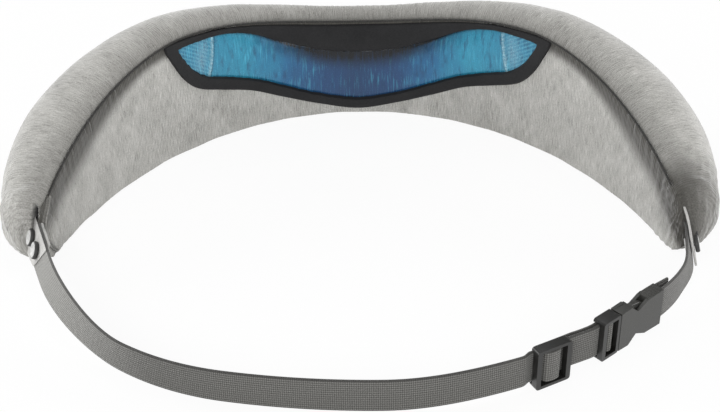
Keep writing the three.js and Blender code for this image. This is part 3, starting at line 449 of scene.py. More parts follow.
# the open end of the left seam: a groove down the rounded end, between the face panel's hem and
# the bolster's lip, that widens towards the ground
from_groove = np.abs(out - 0.0030)
groove_half = 0.0006 + 0.0018 * np.clip(1 - up / 0.024, 0, 1) ** 0.6
in_cleft = smooth(groove_half, groove_half * 0.6, from_groove) * smooth(-0.1630, -0.1650, along)
in_cleft = in_cleft * smooth(0.0250, 0.0225, up) * smooth(-0.0002, 0.0006, up)
push = push - 0.0050 * in_cleft
cushion_points = grid + normal * push[..., None]
cushion_points[..., 2] = np.maximum(cushion_points[..., 2], 0)


def heather_knit():
    """Stretched heather knit: fine ribs and streaks of light and dark yarn that run away from the
    seam, with painted shade in a band beside the seam and painted near-black shade in the open
    cleft."""
    knit = Finish("heather_knit", Roughness=0.95, Sheen_Weight=0.55, Sheen_Roughness=0.45)
    u, v = knit.uv()
    streak = knit.noise(knit.point(u * 3.2, v * 0.20), 1.0, 2.0, 0.5)
    flecks = knit.noise(knit.point(u * 6.0, v * 1.3, 7.0), 1.0, 1.0, 0.5)
    drift = knit.noise(knit.point(u * 0.13, v * 0.07, 3.0), 1.0, 2.0)
    tone = streak * 0.45 + flecks * 0.35 + drift * 0.2
    yarn = knit.shade(tone, [
        (0.34, (0.190, 0.186, 0.172)), (0.44, (0.345, 0.338, 0.318)),
        (0.52, (0.450, 0.443, 0.418)), (0.64, (0.610, 0.602, 0.574)),
    ])
    # painted shade: the knit is darkened by the painted amount in a band beside the seam
    seam_shade_share = knit.painted("beside_seam")
    uneven_shade = (seam_shade_share * (drift * 0.4 + streak * 0.6 + 0.62)).held()
    seam_shaded = knit.mix(uneven_shade, yarn, (0.16, 0.155, 0.145, 1), "MULTIPLY")
    # painted shade: the open cleft is painted near black
    cleft_shade = knit.painted("in_cleft")
    knit.drive(Base_Color=knit.mix(cleft_shade, seam_shaded, (0.006, 0.006, 0.006, 1)))
    ribs = (u * 7.9 + drift * 6).math("SINE")
    knit.bump(ribs * 0.5 + tone * 0.8, 0.0003, 0.40)
    return knit


def paint(obj, name, values):
    """Stores one number for each point of a mesh, for its material to read."""
    layer = obj.data.attributes.new(name, "FLOAT", "POINT")
    layer.data.foreach_set("value", np.clip(values, 0, 1).astype(np.float32).ravel())


knit = heather_knit()
pattern = np.stack([np.broadcast_to(along * 1000, around.shape), around * 1000], -1)
cushion = surface("knit_cushion", cushion_points, knit, pattern, wrap=True, capped=True)
# painted shade: under and above the seam, on the bolster towards its ends and at the right end
band_depth = 0.0050 + 0.0075 * smooth(0.095, 0.145, np.abs(along))
seam_shade = np.where(on_face > 0, smooth(band_depth * 1.5, band_depth * 0.45, to_top) * 0.92,
                      np.exp(-to_top / 0.0060) * 0.62)
bolster_shade = (1 - on_face) * smooth(0.016, 0.004, out) * smooth(0.120, 0.155, np.abs(along))
end_shade = 0.50 * smooth(0.150, 0.166, along) * smooth(0.0, 0.010, up)
paint(cushion, "beside_seam", np.maximum(seam_shade, 0.35 * bolster_shade) + end_shade)
# painted shade: near black in the open cleft
paint(cushion, "in_cleft", in_cleft)
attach(cushion, "mask")
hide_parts("outer_cover", "inner_cover", "face_foam", "left_bolster_foam",
            "right_bolster_foam")

# ---- seam cord and hem band ----
# The cover and the face panel meet in a stitched seam with a thin dark cord in it along the top.
# At the left end a folded hem closes the panel's edge, and the bolster's lip lies beside it.


def tube(name, path, wide, tall, finish, upright=(0, 0, 1)):
    """An elliptical section carried along a path, with a blunt tip at both ends. It is wide along
    its side, which is square to the path and to upright, and tall square to both."""
    tangent = np.gradient(path, axis=0)
    tangent /= np.linalg.norm(tangent, axis=-1, keepdims=True)
    side = np.cross(tangent, upright)
    side /= np.linalg.norm(side, axis=-1, keepdims=True)
    top = np.cross(side, tangent)
    angle = np.linspace(0, 2 * np.pi, 14, endpoint=False)[None, :, None]
    ring = wide * np.cos(angle) * side[:, None] + tall * np.sin(angle) * top[:, None]
    grow = np.ones((len(path), 1, 1))
    grow[[0, -1]] = 0.35
    grow[[1, -2]] = 0.85
    return surface(name, path[:, None] + grow * ring, finish, wrap=True, capped=True)


def mottled(name, low, high, grain, cloud=None, share=1.0, span=(0.3, 0.7), relief=(0.0001, 0.4),
            **constants):
    """A material in two tones, low and high: a fine grain, which also gives its relief, mixed in a
    share with a broad cloud."""
    made = Finish(name, **constants)
    place = made.object_place()
    grains = made.noise(place, *grain)
    tone = made.noise(place, *cloud) * (1 - share) + grains * share if cloud else grains
    made.drive(Base_Color=made.shade(tone, [(span[0], low), (span[1], high)]))
    made.bump(grains, *relief)
    return made


cord_finish = mottled("seam_cord", (0.018, 0.018, 0.017), (0.050, 0.049, 0.046), (2600.0, 2.0),
                      span=(0.35, 0.65), relief=(0.0002, 0.6), Roughness=0.9)
reach = np.linspace(-PANEL_HALF, PANEL_HALF, 420)
top_edge = on_wall(reach, 0.0001, mask_height(reach) - 0.0004)
seam = tube("seam_cord", top_edge, 0.00034, 0.00034, cord_finish)
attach(seam, "mask")
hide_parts("seam_piping")

hem_up = np.linspace(0.0010, 0.0252, 60)
for number, shift in enumerate((0.0, 0.0016)):
    hem_reach = PANEL_HALF + 0.0066 * np.sin(np.pi * hem_up / 0.026) - shift
    bend = np.arcsin(np.clip((hem_reach - PANEL_HALF) / NOSE, 0, 1))
    hem_out = END_SHARE * 0.0205 * (1 - np.cos(bend)) - 0.0001
    fold = tube(f"hem_fold_{number + 1}", on_wall(-hem_reach, hem_out, hem_up), 0.0003, 0.0005,
                knit, upright=(1, 0, 0))
    # painted shade on the hem folds, deeper on the first
    paint(fold, "beside_seam", np.full(len(fold.data.vertices), 0.7 - 0.3 * number))
    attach(fold, "mask")

# ---- window border ----
# A soft black trim, thermally bonded round the window. It stands a little out of the face panel,
# with its outer edge rounded and its inner edge turned down onto the film.
black_trim = mottled("black_trim", (0.004, 0.004, 0.005), (0.013, 0.013, 0.014),
                     (1400.0, 3.0, 0.6), (90.0, 2.0), 0.6, (0.35, 0.65), (0.0002, 0.5),
                     Roughness=0.85)
across = np.linspace(0, 1, 13)
mixed = border_line[:, None] + (film_line - border_line)[:, None] * across[None, :, None] * 1.02
proud = 0.0006 * np.minimum(across / 0.10, 1) ** 0.5 - 0.0026 * smooth(0.82, 1.0, across)
proud[0] = -0.0002
fray = 0.00018 * ripple(np.arange(len(mixed))[:, None] * 0.0007, 0 * across[None], (0.002, 0.007), 3)
mixed = mixed + (across ** 6)[None, :, None] * fray[..., None]
band = on_wall(mixed[..., 0], np.broadcast_to(-proud[None], mixed.shape[:2]), mixed[..., 1])
trim = surface("window_border", band, black_trim, joined=True)
trim.modifiers.new("thickness", "SOLIDIFY").thickness = 0.0004
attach(trim, "mask")
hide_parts("eye_window_frame")

# ---- eye film ----
# A thin blue film, stretched over the two air bladders and drawn into a crease beside each tip. It
# is navy, with painted highlight in cyan over the bladders, and fine rolled streaks run down it
# with painted highlights along them.
CREASE_AT = 0.064


def film_grid():
    """A sheet between the film's lower and upper edges. It bulges towards the face over each
    bladder as a sine across its height, and folds sharply at the creases."""
    reach = np.linspace(-0.0795, 0.0795, 320)[:, None]
    low, high = edges_of(film_line, reach)
    share = np.linspace(0, 1, 60)[None]
    tall = high - low + 0.0010
    level = low - 0.0005 + share * tall
    lobe = np.exp(-((np.abs(reach) - 0.040) / 0.024) ** 2)
    swell = 0.0018 * lobe * np.sin(np.pi * share) ** 0.8
    from_crease = np.abs(reach) - CREASE_AT + 0.003 * (share - 0.5)
    fold = 0.0011 * np.exp(-(from_crease / 0.0007) ** 2)
    waves = 0.00016 * ripple(reach, level, (0.003, 0.009), 41, slant=0.35)
    out = 0.0011 - swell - fold * np.sin(np.pi * share) ** 0.5 - waves * np.sin(np.pi * share)
    return on_wall(reach, out, level), reach, level, share, from_crease


film_points, reach, level, share, from_crease = film_grid()


def blue_film():
    """Satin blue film: navy in the middle, with painted highlight in cyan over the bladders and
    painted black shadow under the upper edge, deepest in the middle. Painted highlights streak down
    it, fine slanting lines cross its tips, and a painted highlight line and a soft painted glare
    mark each crease."""
    film = Finish("blue_film", Roughness=0.25, Metallic=0.35, Coat_Weight=0.25, Coat_Roughness=0.1)
    u, v = film.uv()
    from_middle = u.math("ABSOLUTE")
    wander = film.noise(film.point(u * 0.09, v * 0.05), 1.0, 2.0)
    # the film's navy, with painted highlight in cyan over the bladders
    base = film.shade(from_middle * (1 / 80) + (wander - 0.5) * 0.25, [
        (0.0, (0.015, 0.050, 0.130)), (0.20, (0.017, 0.064, 0.170)), (0.40, (0.020, 0.140, 0.30)),
        (0.60, (0.030, 0.280, 0.43)), (0.9, (0.034, 0.22, 0.36)),
    ])
    streak = film.noise(film.point(u * 1.5, v * 0.10, 5.0), 1.0, 3.0, 0.6)
    where = film.noise(film.point(u * 0.07, v * 0.10, 8.0), 1.0, 1.0).step(0.42, 0.66)
    # painted highlights along the bright streaks
    lit = streak.step(0.50, 0.70) * (where * 0.6 + 0.15) * (from_middle.step(0.0, 40.0) * 0.5 + 0.5)
    bright = film.mix(lit, base, (0.085, 0.45, 0.62, 1))
    dark = film.noise(film.point(u * 0.6, v * 0.12, 9.0), 1.0, 3.0, 0.6).step(0.50, 0.70)
    shaded = film.mix(dark * 0.6, bright, (0.010, 0.045, 0.12, 1))
    tip = from_middle.step(62.0, 66.0)
    lines = (from_middle * 2.2 - v * 3.5).math("SINE").step(-0.5, 1.0)
    lined = film.mix(tip * lines * 0.35, shaded, (0.16, 0.50, 0.64, 1))
    # painted glare beside each crease
    bloom = film.painted("bloom")
    grains = film.noise(film.point(u * 2.5, v * 1.2, 2.0), 1.0, 3.0, 0.6)
    glared = film.mix(bloom * grains.step(0.25, 0.75), lined, (0.50, 0.62, 0.66, 1))
    # painted highlight line along each crease
    painted_light = film.painted("crease")
    creased = film.mix(painted_light * grains.step(0.30, 0.62) * 0.8, glared, (0.46, 0.66, 0.72, 1))
    # painted shadow under the upper edge, deepest in the middle
    under = film.painted("under_edge")
    ragged_shadow = (under + (streak - 0.5) * under * 1.2).held()
    film.drive(Base_Color=film.mix(ragged_shadow, creased, (0.002, 0.003, 0.005, 1)))
    film.drive(Roughness=0.20 + lit * 0.15 + grains * 0.12)
    film.bump(streak * 0.6 + grains * 0.3, 0.0004, 0.35)
    return film


film_pattern = np.stack(np.broadcast_arrays(reach * 1000, level * 1000), -1)
film = surface("eye_film_sheet", film_points, blue_film(), film_pattern)
# painted glare beside each crease
paint(film, "bloom", 0.35 * np.exp(-((from_crease - 0.0040) / 0.0030) ** 2)
      * np.sin(np.pi * share) ** 0.6)
# painted shadow under the upper edge of the film, wide in the middle
middle = np.exp(-(reach / 0.036) ** 4)
paint(film, "under_edge", middle * smooth(0.55, 0.95, share) + 0.8 * smooth(0.90, 1.0, share))
# painted highlight line along each crease
paint(film, "crease", np.exp(-(from_crease / 0.0005) ** 2))
film.modifiers.new("thickness", "SOLIDIFY").thickness = 0.0003
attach(film, "mask")
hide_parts("eye_film")

# ---- strap tabs ----
# Pale sheets, die-cut from coated felt and sewn into the ends of the cushion, that lean in at the
# top. They carry the snaps that hold the strap, and the left one has a facing over the strap.
LEFT_HEADING, RIGHT_HEADING = 69.5, 82.0
LEFT_LEAN, RIGHT_LEAN = math.radians(22), math.radians(15)
LEFT_LEVEL = 0.012
STRAP_LEVEL = 0.008
LEFT_TAB_AT = (-0.115309, -0.027797, LEFT_LEVEL)
RIGHT_TAB_AT = (0.121436, -0.024177, STRAP_LEVEL)
WEB_WIDTH = 0.0128
WEB_THICK = 0.0010
GAP = 0.0003
TAB_THICK = 0.0010


def standing(points, heading, x, y, z=0.0, lean=0.0):
    """Points turned back by lean about X, then to a heading about Z, and moved to x, y, z."""
    turn = Matrix.Rotation(heading, 3, "Z") @ Matrix.Rotation(-lean, 3, "X")
    return np.asarray(points, float) @ np.array(turn).T + (x, y, z)


def in_left_tab(points):
    return standing(points, math.radians(-LEFT_HEADING), *LEFT_TAB_AT, LEFT_LEAN)


def in_right_tab(points):
    return standing(points, math.radians(RIGHT_HEADING), *RIGHT_TAB_AT, RIGHT_LEAN)


def rounded_outline(corners, radius):
    """A convex outline whose corners are quadratic curves that start radius away from them."""
    corners = np.asarray(corners, float)
    back, ahead = np.roll(corners, 1, 0) - corners, np.roll(corners, -1, 0) - corners
    back /= np.linalg.norm(back, axis=1, keepdims=True)
    ahead /= np.linalg.norm(ahead, axis=1, keepdims=True)
    t = np.linspace(0, 1, 6)[None, :, None]
    start, end = corners + back * radius, corners + ahead * radius
    bends = (1 - t) ** 2 * start[:, None] + 2 * t * (1 - t) * corners[:, None] + t * t * end[:, None]
    return bends.reshape(-1, 2)


def sheet_plate(name, outline, y0, y1, edge, finish, place):
    """A flat plate of an outline in local X and Z, from y0 to y1, with its rims rounded by edge."""
    middle = outline.mean(0)
    from_middle = np.linalg.norm(outline - middle, axis=1, keepdims=True)
    inner = middle + (outline - middle) * (1 - edge / from_middle)
    levels = [(inner, y0), (outline, y0 + edge), (outline, y1 - edge), (inner, y1)]
    rings = np.stack([np.stack([ring[:, 0], np.full(len(ring), y), ring[:, 1]], -1)
                      for ring, y in levels])
    return surface(name, place(rings), finish, wrap=True, capped=True, smooth=30)


tab_felt = mottled("tab_felt", (0.36, 0.355, 0.34), (0.58, 0.575, 0.555), (1800.0, 3.0),
                   (160.0, 2.0), 0.5, relief=(0.00015, 0.4), Roughness=0.6, Sheen_Weight=0.2)
corners = [(-0.0185, -0.0060), (0.005, -0.0063), (0.005, 0.0063), (-0.0150, 0.0062),
           (-0.0185, 0.0060)]
tab = sheet_plate("left_tab_sheet", rounded_outline(corners, 0.0012), 0.0, TAB_THICK, 0.0003,
                  tab_felt, in_left_tab)
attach(tab, "mask")
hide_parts("left_strap_tab")

# its facing over the strap's end, under the snap caps, is cut to a leaf
leaf_front = -GAP - WEB_THICK - 0.0003
corners = [(-0.0165, 0.0066), (-0.0095, -0.0076), (0.0010, -0.0064), (0.0095, 0.0063)]
facing = sheet_plate("left_tab_facing", rounded_outline(corners, 0.0008), leaf_front,
                     leaf_front + 0.0002, 0.00005, tab_felt, in_left_tab)
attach(facing, "mask")

# the right sheet narrows to a leaf that bends in to the end of the seam
run = np.linspace(-0.0050, 0.0150, 41)[:, None]
share = np.linspace(0, 1, 17)[None]
low = -0.0063 + 0.0225 * smooth(0.0, 0.0150, run)
high = 0.0063 + 0.0112 * smooth(-0.0050, 0.0150, run)
level = low + share * (high - low)
inward = 0.0028 * smooth(0.0010, 0.0150, run) * smooth(-0.008, 0.016, level)
leaf = np.stack(np.broadcast_arrays(run, inward, level), -1)
tab = surface("right_tab_sheet", in_right_tab(leaf), tab_felt)
tab.modifiers.new("thickness", "SOLIDIFY").thickness = TAB_THICK * 0.8
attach(tab, "mask")
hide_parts("right_strap_tab")

# ---- snaps ----
# Pressed snap fasteners with a pale matt coating, two at each end. Each has a dished cap with a
# rolled rim on the outer side, painted dark as shade, and a post through webbing and tab to a flat
# washer.


def lathe(name, profile, finish, place, sides, joined=False, smooth=50):
    """A profile of (radius, height) turned about the local Y axis. It starts and ends close to
    the axis, or is joined to itself."""
    profile = np.asarray(profile, float)
    angle = np.linspace(0, 2 * np.pi, sides, endpoint=False)[None]
    radius, height = profile[:, :1], profile[:, 1:]
    rings = np.stack(np.broadcast_arrays(radius * np.cos(angle), height, radius * np.sin(angle)), -1)
    return surface(name, place(rings), finish, wrap=True, joined=joined, capped=not joined,
                   smooth=smooth)


snap_metal = Finish("snap_metal", Metallic=0.15, Roughness=0.45)
place = snap_metal.object_place()
scuffs = snap_metal.noise(place, 900.0, 4.0, 0.7)
pale = snap_metal.shade(scuffs, [(0.3, (0.42, 0.42, 0.41)), (0.7, (0.68, 0.68, 0.67))])
# painted shade on the cap's rim
rim = snap_metal.painted("rim")
snap_metal.drive(Base_Color=snap_metal.mix(rim, pale, (0.035, 0.035, 0.034, 1)))
snap_metal.drive(Roughness=0.35 + scuffs * 0.3)
snap_metal.bump(scuffs, 0.00005, 0.3)
SNAP_RADIUS = 0.0033
SNAP_SPACING = 0.0085
SNAP_CAP = [(0.00001, -0.0012), (0.0010, -0.0012), (0.0016, -0.00125), (0.0021, -0.0015),
            (0.0026, -0.0017), (0.0030, -0.0016), (0.0033, -0.0012), (0.0033, -0.0006),
            (0.0031, -0.0001), (0.0026, 0.0), (0.0009, 0.0), (0.0009, 0.0001)]
snap_sets = (
    ("left", in_left_tab, -1, -GAP - WEB_THICK, TAB_THICK),
    ("right", in_right_tab, 1, 0.0, TAB_THICK + GAP + WEB_THICK),
)
for side, place_tab, way, front, behind in snap_sets:
    for number, level in enumerate(("lower", "upper")):
        offset = way * number * SNAP_SPACING
        cap = [(radius, front - GAP + height) for radius, height in SNAP_CAP]
        foot = behind + GAP
        washer = [(0.0009, foot), (0.0022, foot), (0.0025, foot + 0.0002), (0.0024, foot + 0.0006),
                  (0.00001, foot + 0.0006)]
        snap = lathe(f"{side}_{level}_snap_cap", cap + washer, snap_metal,
                     lambda points: place_tab(points + (offset, 0, 0)), 40, smooth=40)
        on_shaded_rim = [radius > 0.0028 for radius, height in cap] + [False] * len(washer)
        paint(snap, "rim", np.repeat(np.array(on_shaded_rim, float), 40))
        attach(snap, "mask")
        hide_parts(f"{side}_{level}_snap")

# ---- head strap ----
# Half-inch grey nylon webbing in a fine twill, standing on edge. The long piece runs from the left
# snaps round the back of the head to the slider.


def drawn(start, heading, legs, step=0.0008):
    """A line in plan from start: each leg is (length, turn in degrees), and the heading changes
    evenly along it. The points are the running sum of short steps along the heading."""
    turns, spans = [], []
    now = math.radians(heading)
    for length, turn in legs:
        count = max(int(round(length / step)), 2)
        share = (np.arange(count) + 0.5) / count
        turns.append(now + math.radians(turn) * share)
        spans.append(np.full(count, length / count))
        now += math.radians(turn)
    angle, span = np.concatenate(turns), np.concatenate(spans)[:, None]
    moves = np.stack([np.cos(angle), np.sin(angle)], -1) * span
    return np.vstack([[start], np.asarray(start) + np.cumsum(moves, axis=0)])


def strip(name, path, level, lean, finish, width=WEB_WIDTH, thick=WEB_THICK):
    """Webbing on edge along a line in plan: a rounded rectangle carried along it, whose middle is
    at a height and whose top leans in by an angle. UV is the distance along and the height on
    the webbing, in mm."""
    tangent = np.gradient(path, axis=0)
    tangent /= np.linalg.norm(tangent, axis=1, keepdims=True)
    outwards = np.stack([tangent[:, 1], -tangent[:, 0], np.zeros(len(path))], -1)
    level = np.broadcast_to(level, len(path))
    lean = np.broadcast_to(lean, len(path))[:, None]
    rise = np.array([0.0, 0.0, 1.0]) * np.cos(lean) - outwards * np.sin(lean)
    face = outwards * np.cos(lean) + np.array([0.0, 0.0, 1.0]) * np.sin(lean)
    bend = thick * 0.42
    corner = np.linspace(0, np.pi / 2, 4)
    quarter = np.stack([np.cos(corner), np.sin(corner)], -1) * bend
    first = quarter + (thick / 2 - bend, width / 2 - bend)
    levels = np.linspace(0.85, -0.85, 9) * width / 2
    broad = np.stack([np.full(9, -thick / 2), levels], -1)
    left = first[::-1] * (-1, 1)
    half = np.vstack([first, left, broad])
    section = np.vstack([half, -half])
    middle = np.concatenate([path, level[:, None]], 1)
    grid = (middle[:, None] + face[:, None] * section[None, :, :1]
            + rise[:, None] * section[None, :, 1:])
    run = np.concatenate([[0], np.cumsum(np.linalg.norm(np.diff(path, axis=0), axis=1))])
    high = np.append(section[:, 1], section[0, 1])
    pattern = np.stack(np.broadcast_arrays(run[:, None] * 1000, high[None] * 1000), -1)
    return surface(name, grid, finish, pattern, wrap=True, capped=True, smooth=50)


webbing = Finish("grey_webbing", Roughness=0.72, Sheen_Weight=0.25, Sheen_Roughness=0.4)
u, v = webbing.uv()
twill = ((u * 4.5 + v * 3.4).math("SINE") * (u * 4.5 - v * 3.4).math("SINE")) * 0.5 + 0.5
picks = (v * 7.4).math("SINE") * 0.5 + 0.5
fibre = webbing.noise(webbing.point(u * 2.2, v * 2.2, 1.0), 1.0, 3.0, 0.6)
tone = twill * 0.62 + picks * 0.10 + fibre * 0.28
yarn = webbing.shade(tone, [(0.22, (0.045, 0.044, 0.040)), (0.50, (0.098, 0.096, 0.089)),
                            (0.76, (0.190, 0.187, 0.176))])
# painted light: a lit, paler copy of the yarn towards the left tab
painted_light = webbing.shade(tone, [(0.22, (0.120, 0.118, 0.110)), (0.50, (0.235, 0.232, 0.218)),
                            (0.76, (0.420, 0.415, 0.392))])
x = webbing.add("ShaderNodeSeparateXYZ", inputs={0: webbing.object_place()})
yarn = webbing.mix((x * -1.0).step(0.066, 0.110), yarn, painted_light)
# painted shade along the webbing's top and bottom edges
rim = v.math("ABSOLUTE").step(WEB_WIDTH * 500 - 0.75, WEB_WIDTH * 500 - 0.30)
webbing.drive(Base_Color=webbing.mix(rim * 0.8, yarn, (0.030, 0.029, 0.027, 1)))
webbing.bump(tone, 0.00035, 0.8)

ARC_RADIUS = 0.112
ARC_CENTRE = np.array([0.0087, 0.00993])
SLIDER_HEADING = math.radians(28.0)
BUCKLE_HEADING = 40.2
PLUG_ORIGIN = np.array([0.078209, -0.078401])
BACK_RADIUS, BACK_TURN = 0.259, 12.0
CORNER_RADIUS = 0.0917
PAST_SNAP = SNAP_SPACING + SNAP_RADIUS + 0.0008


def on_arc(along, outside):
    """Plan points at distances along the slider's arc from the slider, and out from the arc."""
    angle = SLIDER_HEADING + np.asarray(along) / ARC_RADIUS
    radius = ARC_RADIUS + np.asarray(outside)
    return ARC_CENTRE + np.stack([radius * np.sin(angle), -radius * np.cos(angle)], -1)


def strap_level(path):
    """The middle of the webbing rests low at the back and rises to the snaps and the buckle."""
    left = (LEFT_LEVEL - WEB_WIDTH / 2) * smooth(0.080, 0.112, -path[:, 0])
    right = (STRAP_LEVEL - WEB_WIDTH / 2) * smooth(0.005, 0.048, path[:, 0])
    return WEB_WIDTH / 2 + left + right


leftwards = drawn(ARC_CENTRE - (0, ARC_RADIUS), 180, [
    (BACK_RADIUS * math.radians(BACK_TURN), -BACK_TURN),
    (CORNER_RADIUS * math.radians(LEFT_HEADING - BACK_TURN), BACK_TURN - LEFT_HEADING),
    (0.0115 + PAST_SNAP, 0),
])[::-1]
split_at = int(np.argmax(leftwards[:, 0] > -0.060))
left_path = leftwards[:split_at + 1]
strap = strip("strap_left", left_path, strap_level(left_path),
              LEFT_LEAN * smooth(0.078, 0.116, -left_path[:, 0]), webbing)
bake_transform(strap)
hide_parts("long_strap")

BEHIND = 0.0012
along = np.linspace(-SLIDER_HEADING * ARC_RADIUS, 0.0059, 90)[1:]
outside = -BEHIND * smooth(-0.0105, -0.0072, along)
back_path = np.vstack([leftwards[split_at:], on_arc(along, outside)])
strap = strip("strap_back", back_path, strap_level(back_path), 0.0, webbing)
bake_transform(strap)
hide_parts("long_strap")

# ---- slider ----
# A moulded nylon ladder-lock slider with rounded edges. The webbing passes behind its side bars
# and over its centre bar.


def nylon(name, low, high, roughness):
    """Moulded nylon: a fine matt grain, and polished patches where it has been handled."""
    made = Finish(name, Roughness=roughness, Coat_Weight=0.12, Coat_Roughness=0.3)
    place = made.object_place()
    grains = made.noise(place, 2100.0, 3.0, 0.6)
    cloud = made.noise(place, 140.0, 3.0)
    made.drive(Base_Color=made.shade(grains * 0.35 + cloud * 0.65, [(0.32, low), (0.68, high)]))
    made.drive(Roughness=cloud * 0.25 + (roughness - 0.1))
    made.bump(grains, 0.00012, 0.4)
    return made


def moulded(name, node, finish, body, bevel=0.0003):
    """A moulded piece with the outline of its solid, merged into clean faces, its edges
    rounded by a bevel."""
    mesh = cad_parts[node].data.copy()
    mesh.name = name
    form = bmesh.new()
    form.from_mesh(mesh)
    bmesh.ops.remove_doubles(form, verts=form.verts, dist=2e-6)
    bmesh.ops.dissolve_limit(form, angle_limit=math.radians(2), verts=form.verts, edges=form.edges)
    form.to_mesh(mesh)
    form.free()
    mesh.materials.clear()
    mesh.materials.append(finish.material)
    mesh.shade_smooth()
    mesh.set_sharp_from_angle(angle=math.radians(50))
    obj = bpy.data.objects.new(name, mesh)
    scene.collection.objects.link(obj)
    rounding = obj.modifiers.new("rounding", "BEVEL")
    rounding.width, rounding.segments, rounding.limit_method = bevel, 3, "ANGLE"
    rounding.angle_limit = math.radians(40)
    rounding.harden_normals = True
    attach(obj, body)
    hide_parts(node)
    return obj


def ribs(name, x0, x1, y0, y1, base, high, count, finish, place, body):
    """A row of rounded ribs on a level at base: a bar whose top is the positive part of a
    cosine along local X, high tall."""
    x = np.linspace(x0, x1, count * 10 + 1)
    wave = np.maximum(np.cos(np.linspace(-np.pi, np.pi * (2 * count - 1), x.size)), -0.1)
    top = base + high * wave
    low = np.full_like(x, base - 0.3 * high)
    ring = [(x, np.full_like(x, y0), low), (x, np.full_like(x, y0), top),
            (x, np.full_like(x, y1), top), (x, np.full_like(x, y1), low)]
    rings = np.stack([np.stack(corner, -1) for corner in ring], 1)
    obj = surface(name, place(rings), finish, wrap=True, capped=True, smooth=40)
    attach(obj, body)


dark_nylon = nylon("dark_nylon", (0.006, 0.006, 0.0055), (0.015, 0.015, 0.014), 0.36)
buckle_nylon = nylon("buckle_nylon", (0.024, 0.024, 0.022), (0.046, 0.046, 0.042), 0.42)
moulded("slider_frame", "slider", dark_nylon, "slider", 0.00035)
bridge = np.linspace(-0.0046, 0.0046, 60)
lift = smooth(0.0046, 0.0020, np.abs(bridge))
hump_path = on_arc(bridge, -BEHIND + (0.0014 + BEHIND) * lift + 0.0003 * np.cos(bridge * 700))
hump = strip("slider_web_bridge", hump_path, STRAP_LEVEL, 0.0, webbing, WEB_WIDTH - 0.0001, 0.0009)
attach(hump, "slider")

# ---- doubled webbing ----
# The adjustable end: out of the slider, through the plug round its bar and back behind itself to
# the slider's centre bar, where it is sewn.


def in_buckle(points):
    return standing(points, math.radians(BUCKLE_HEADING), *PLUG_ORIGIN)


def buckle_plan(points):
    """Local X and Y of the buckle as plan points."""
    flat = np.column_stack([np.asarray(points, float), np.zeros(len(points))])
    return in_buckle(flat)[:, :2]


LOOP_RADIUS = 0.0015
DOUBLED = 0.0014
PLUG_BAR = np.array([0.0048, 0.0004])
turned = np.radians(np.linspace(198, 450, 10))
round_bar = PLUG_BAR + LOOP_RADIUS * np.stack([np.cos(turned), np.sin(turned)], -1)
bar_path = buckle_plan(np.vstack([[(-0.0015, 0.0003), (0.0023, 0.00035)], round_bar,
                                  [(0.0028, 0.0019), (-0.0015, 0.0019)]]))
going = on_arc([0.0062, 0.009, 0.014], [-BEHIND, -BEHIND, -0.0005])
coming = on_arc([0.014, 0.009, 0.004, -0.0005],
                np.array([-0.0005, -BEHIND, -BEHIND, -BEHIND]) - DOUBLED)
loop_path = spline(np.vstack([going, bar_path, coming]), 8)
doubled = strip("strap_doubled", loop_path, STRAP_LEVEL, 0.0, webbing, WEB_WIDTH - 0.0001)
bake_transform(doubled)
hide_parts("adjuster_loop")

# ---- side-release buckle ----
# A small moulded buckle: a plug with a webbing bar, a tongue and two springing arms, and a flat
# socket with ribbed edges, whose side windows the arms snap into.
moulded("buckle_plug_body", "buckle_plug", dark_nylon, "buckle_plug", 0.00035)
moulded("upper_buckle_arm_grip", "upper_buckle_arm", buckle_nylon, "upper_arm")
moulded("lower_buckle_arm_grip", "lower_buckle_arm", buckle_nylon, "lower_arm")
moulded("buckle_socket_body", "buckle_socket", buckle_nylon, "strap_loop", 0.0003)
for name, base, high in (("upper", 0.0154, 0.0003), ("lower", 0.0006, -0.0003)):
    ribs(f"socket_{name}_ribs", 0.0224, 0.0296, -0.0021, 0.0021, base, high, 6, buckle_nylon,
         in_buckle, "strap_loop")

# ---- short strap ----
# The short piece of webbing: sewn back on itself round the socket's bar, out to the right tab and
# held between the tab and its snaps' washers.
SOCKET_BAR = np.array([0.0267, 0.0009])
SHORT_RADIUS = 0.054
turned = np.radians(np.linspace(90, 270, 9))
round_bar = SOCKET_BAR + LOOP_RADIUS * np.stack([np.cos(turned), np.sin(turned)], -1)
sewn = SOCKET_BAR + np.array([(0.011, 0.0010), (0.006, 0.0013), (0.0015, 0.0015)])
hook = spline(buckle_plan(np.vstack([sewn, round_bar])), 6)
turn = RIGHT_HEADING - BUCKLE_HEADING
onwards = drawn(hook[-1], BUCKLE_HEADING, [(0.0023, 0), (SHORT_RADIUS * math.radians(turn), turn),
                                           (0.0025 + PAST_SNAP, 0)])
short_path = np.vstack([hook, onwards[1:]])
short_lean = RIGHT_LEAN * smooth(-0.0462, -0.0302, short_path[:, 1])
short_lean = np.where(short_path[:, 0] > 0.11, short_lean, 0)
short = strip("strap_short", short_path, STRAP_LEVEL, short_lean, webbing)
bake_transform(short)
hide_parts("short_strap")

# ---- power button ----
# A round silicone-coated cap on a flange, that presses inwards through a moulded ring set in the
# front of the cushion beside the nose.
BUTTON_AT = 0.052


def on_front(points, along):
    """Local points whose Y axis points out of the front, at the middle of its height."""
    middle = np.array(along)
    base = on_wall(middle, mask_depth(middle), mask_height(middle) / 2)
    beyond = on_wall(middle, mask_depth(middle) + 0.001, mask_height(middle) / 2)
    outwards = (beyond - base) * 1000
    heading = math.atan2(outwards[1], outwards[0]) - math.pi / 2
    return standing(points, heading, *base)


def moulded_plastic(name, low, high, roughness):
    """Fine-grained moulded plastic with faint clouding."""
    return mottled(name, low, high, (900.0, 3.0), (90.0, 2.0), 0.4, relief=(0.00006, 0.4),
                   Roughness=roughness)


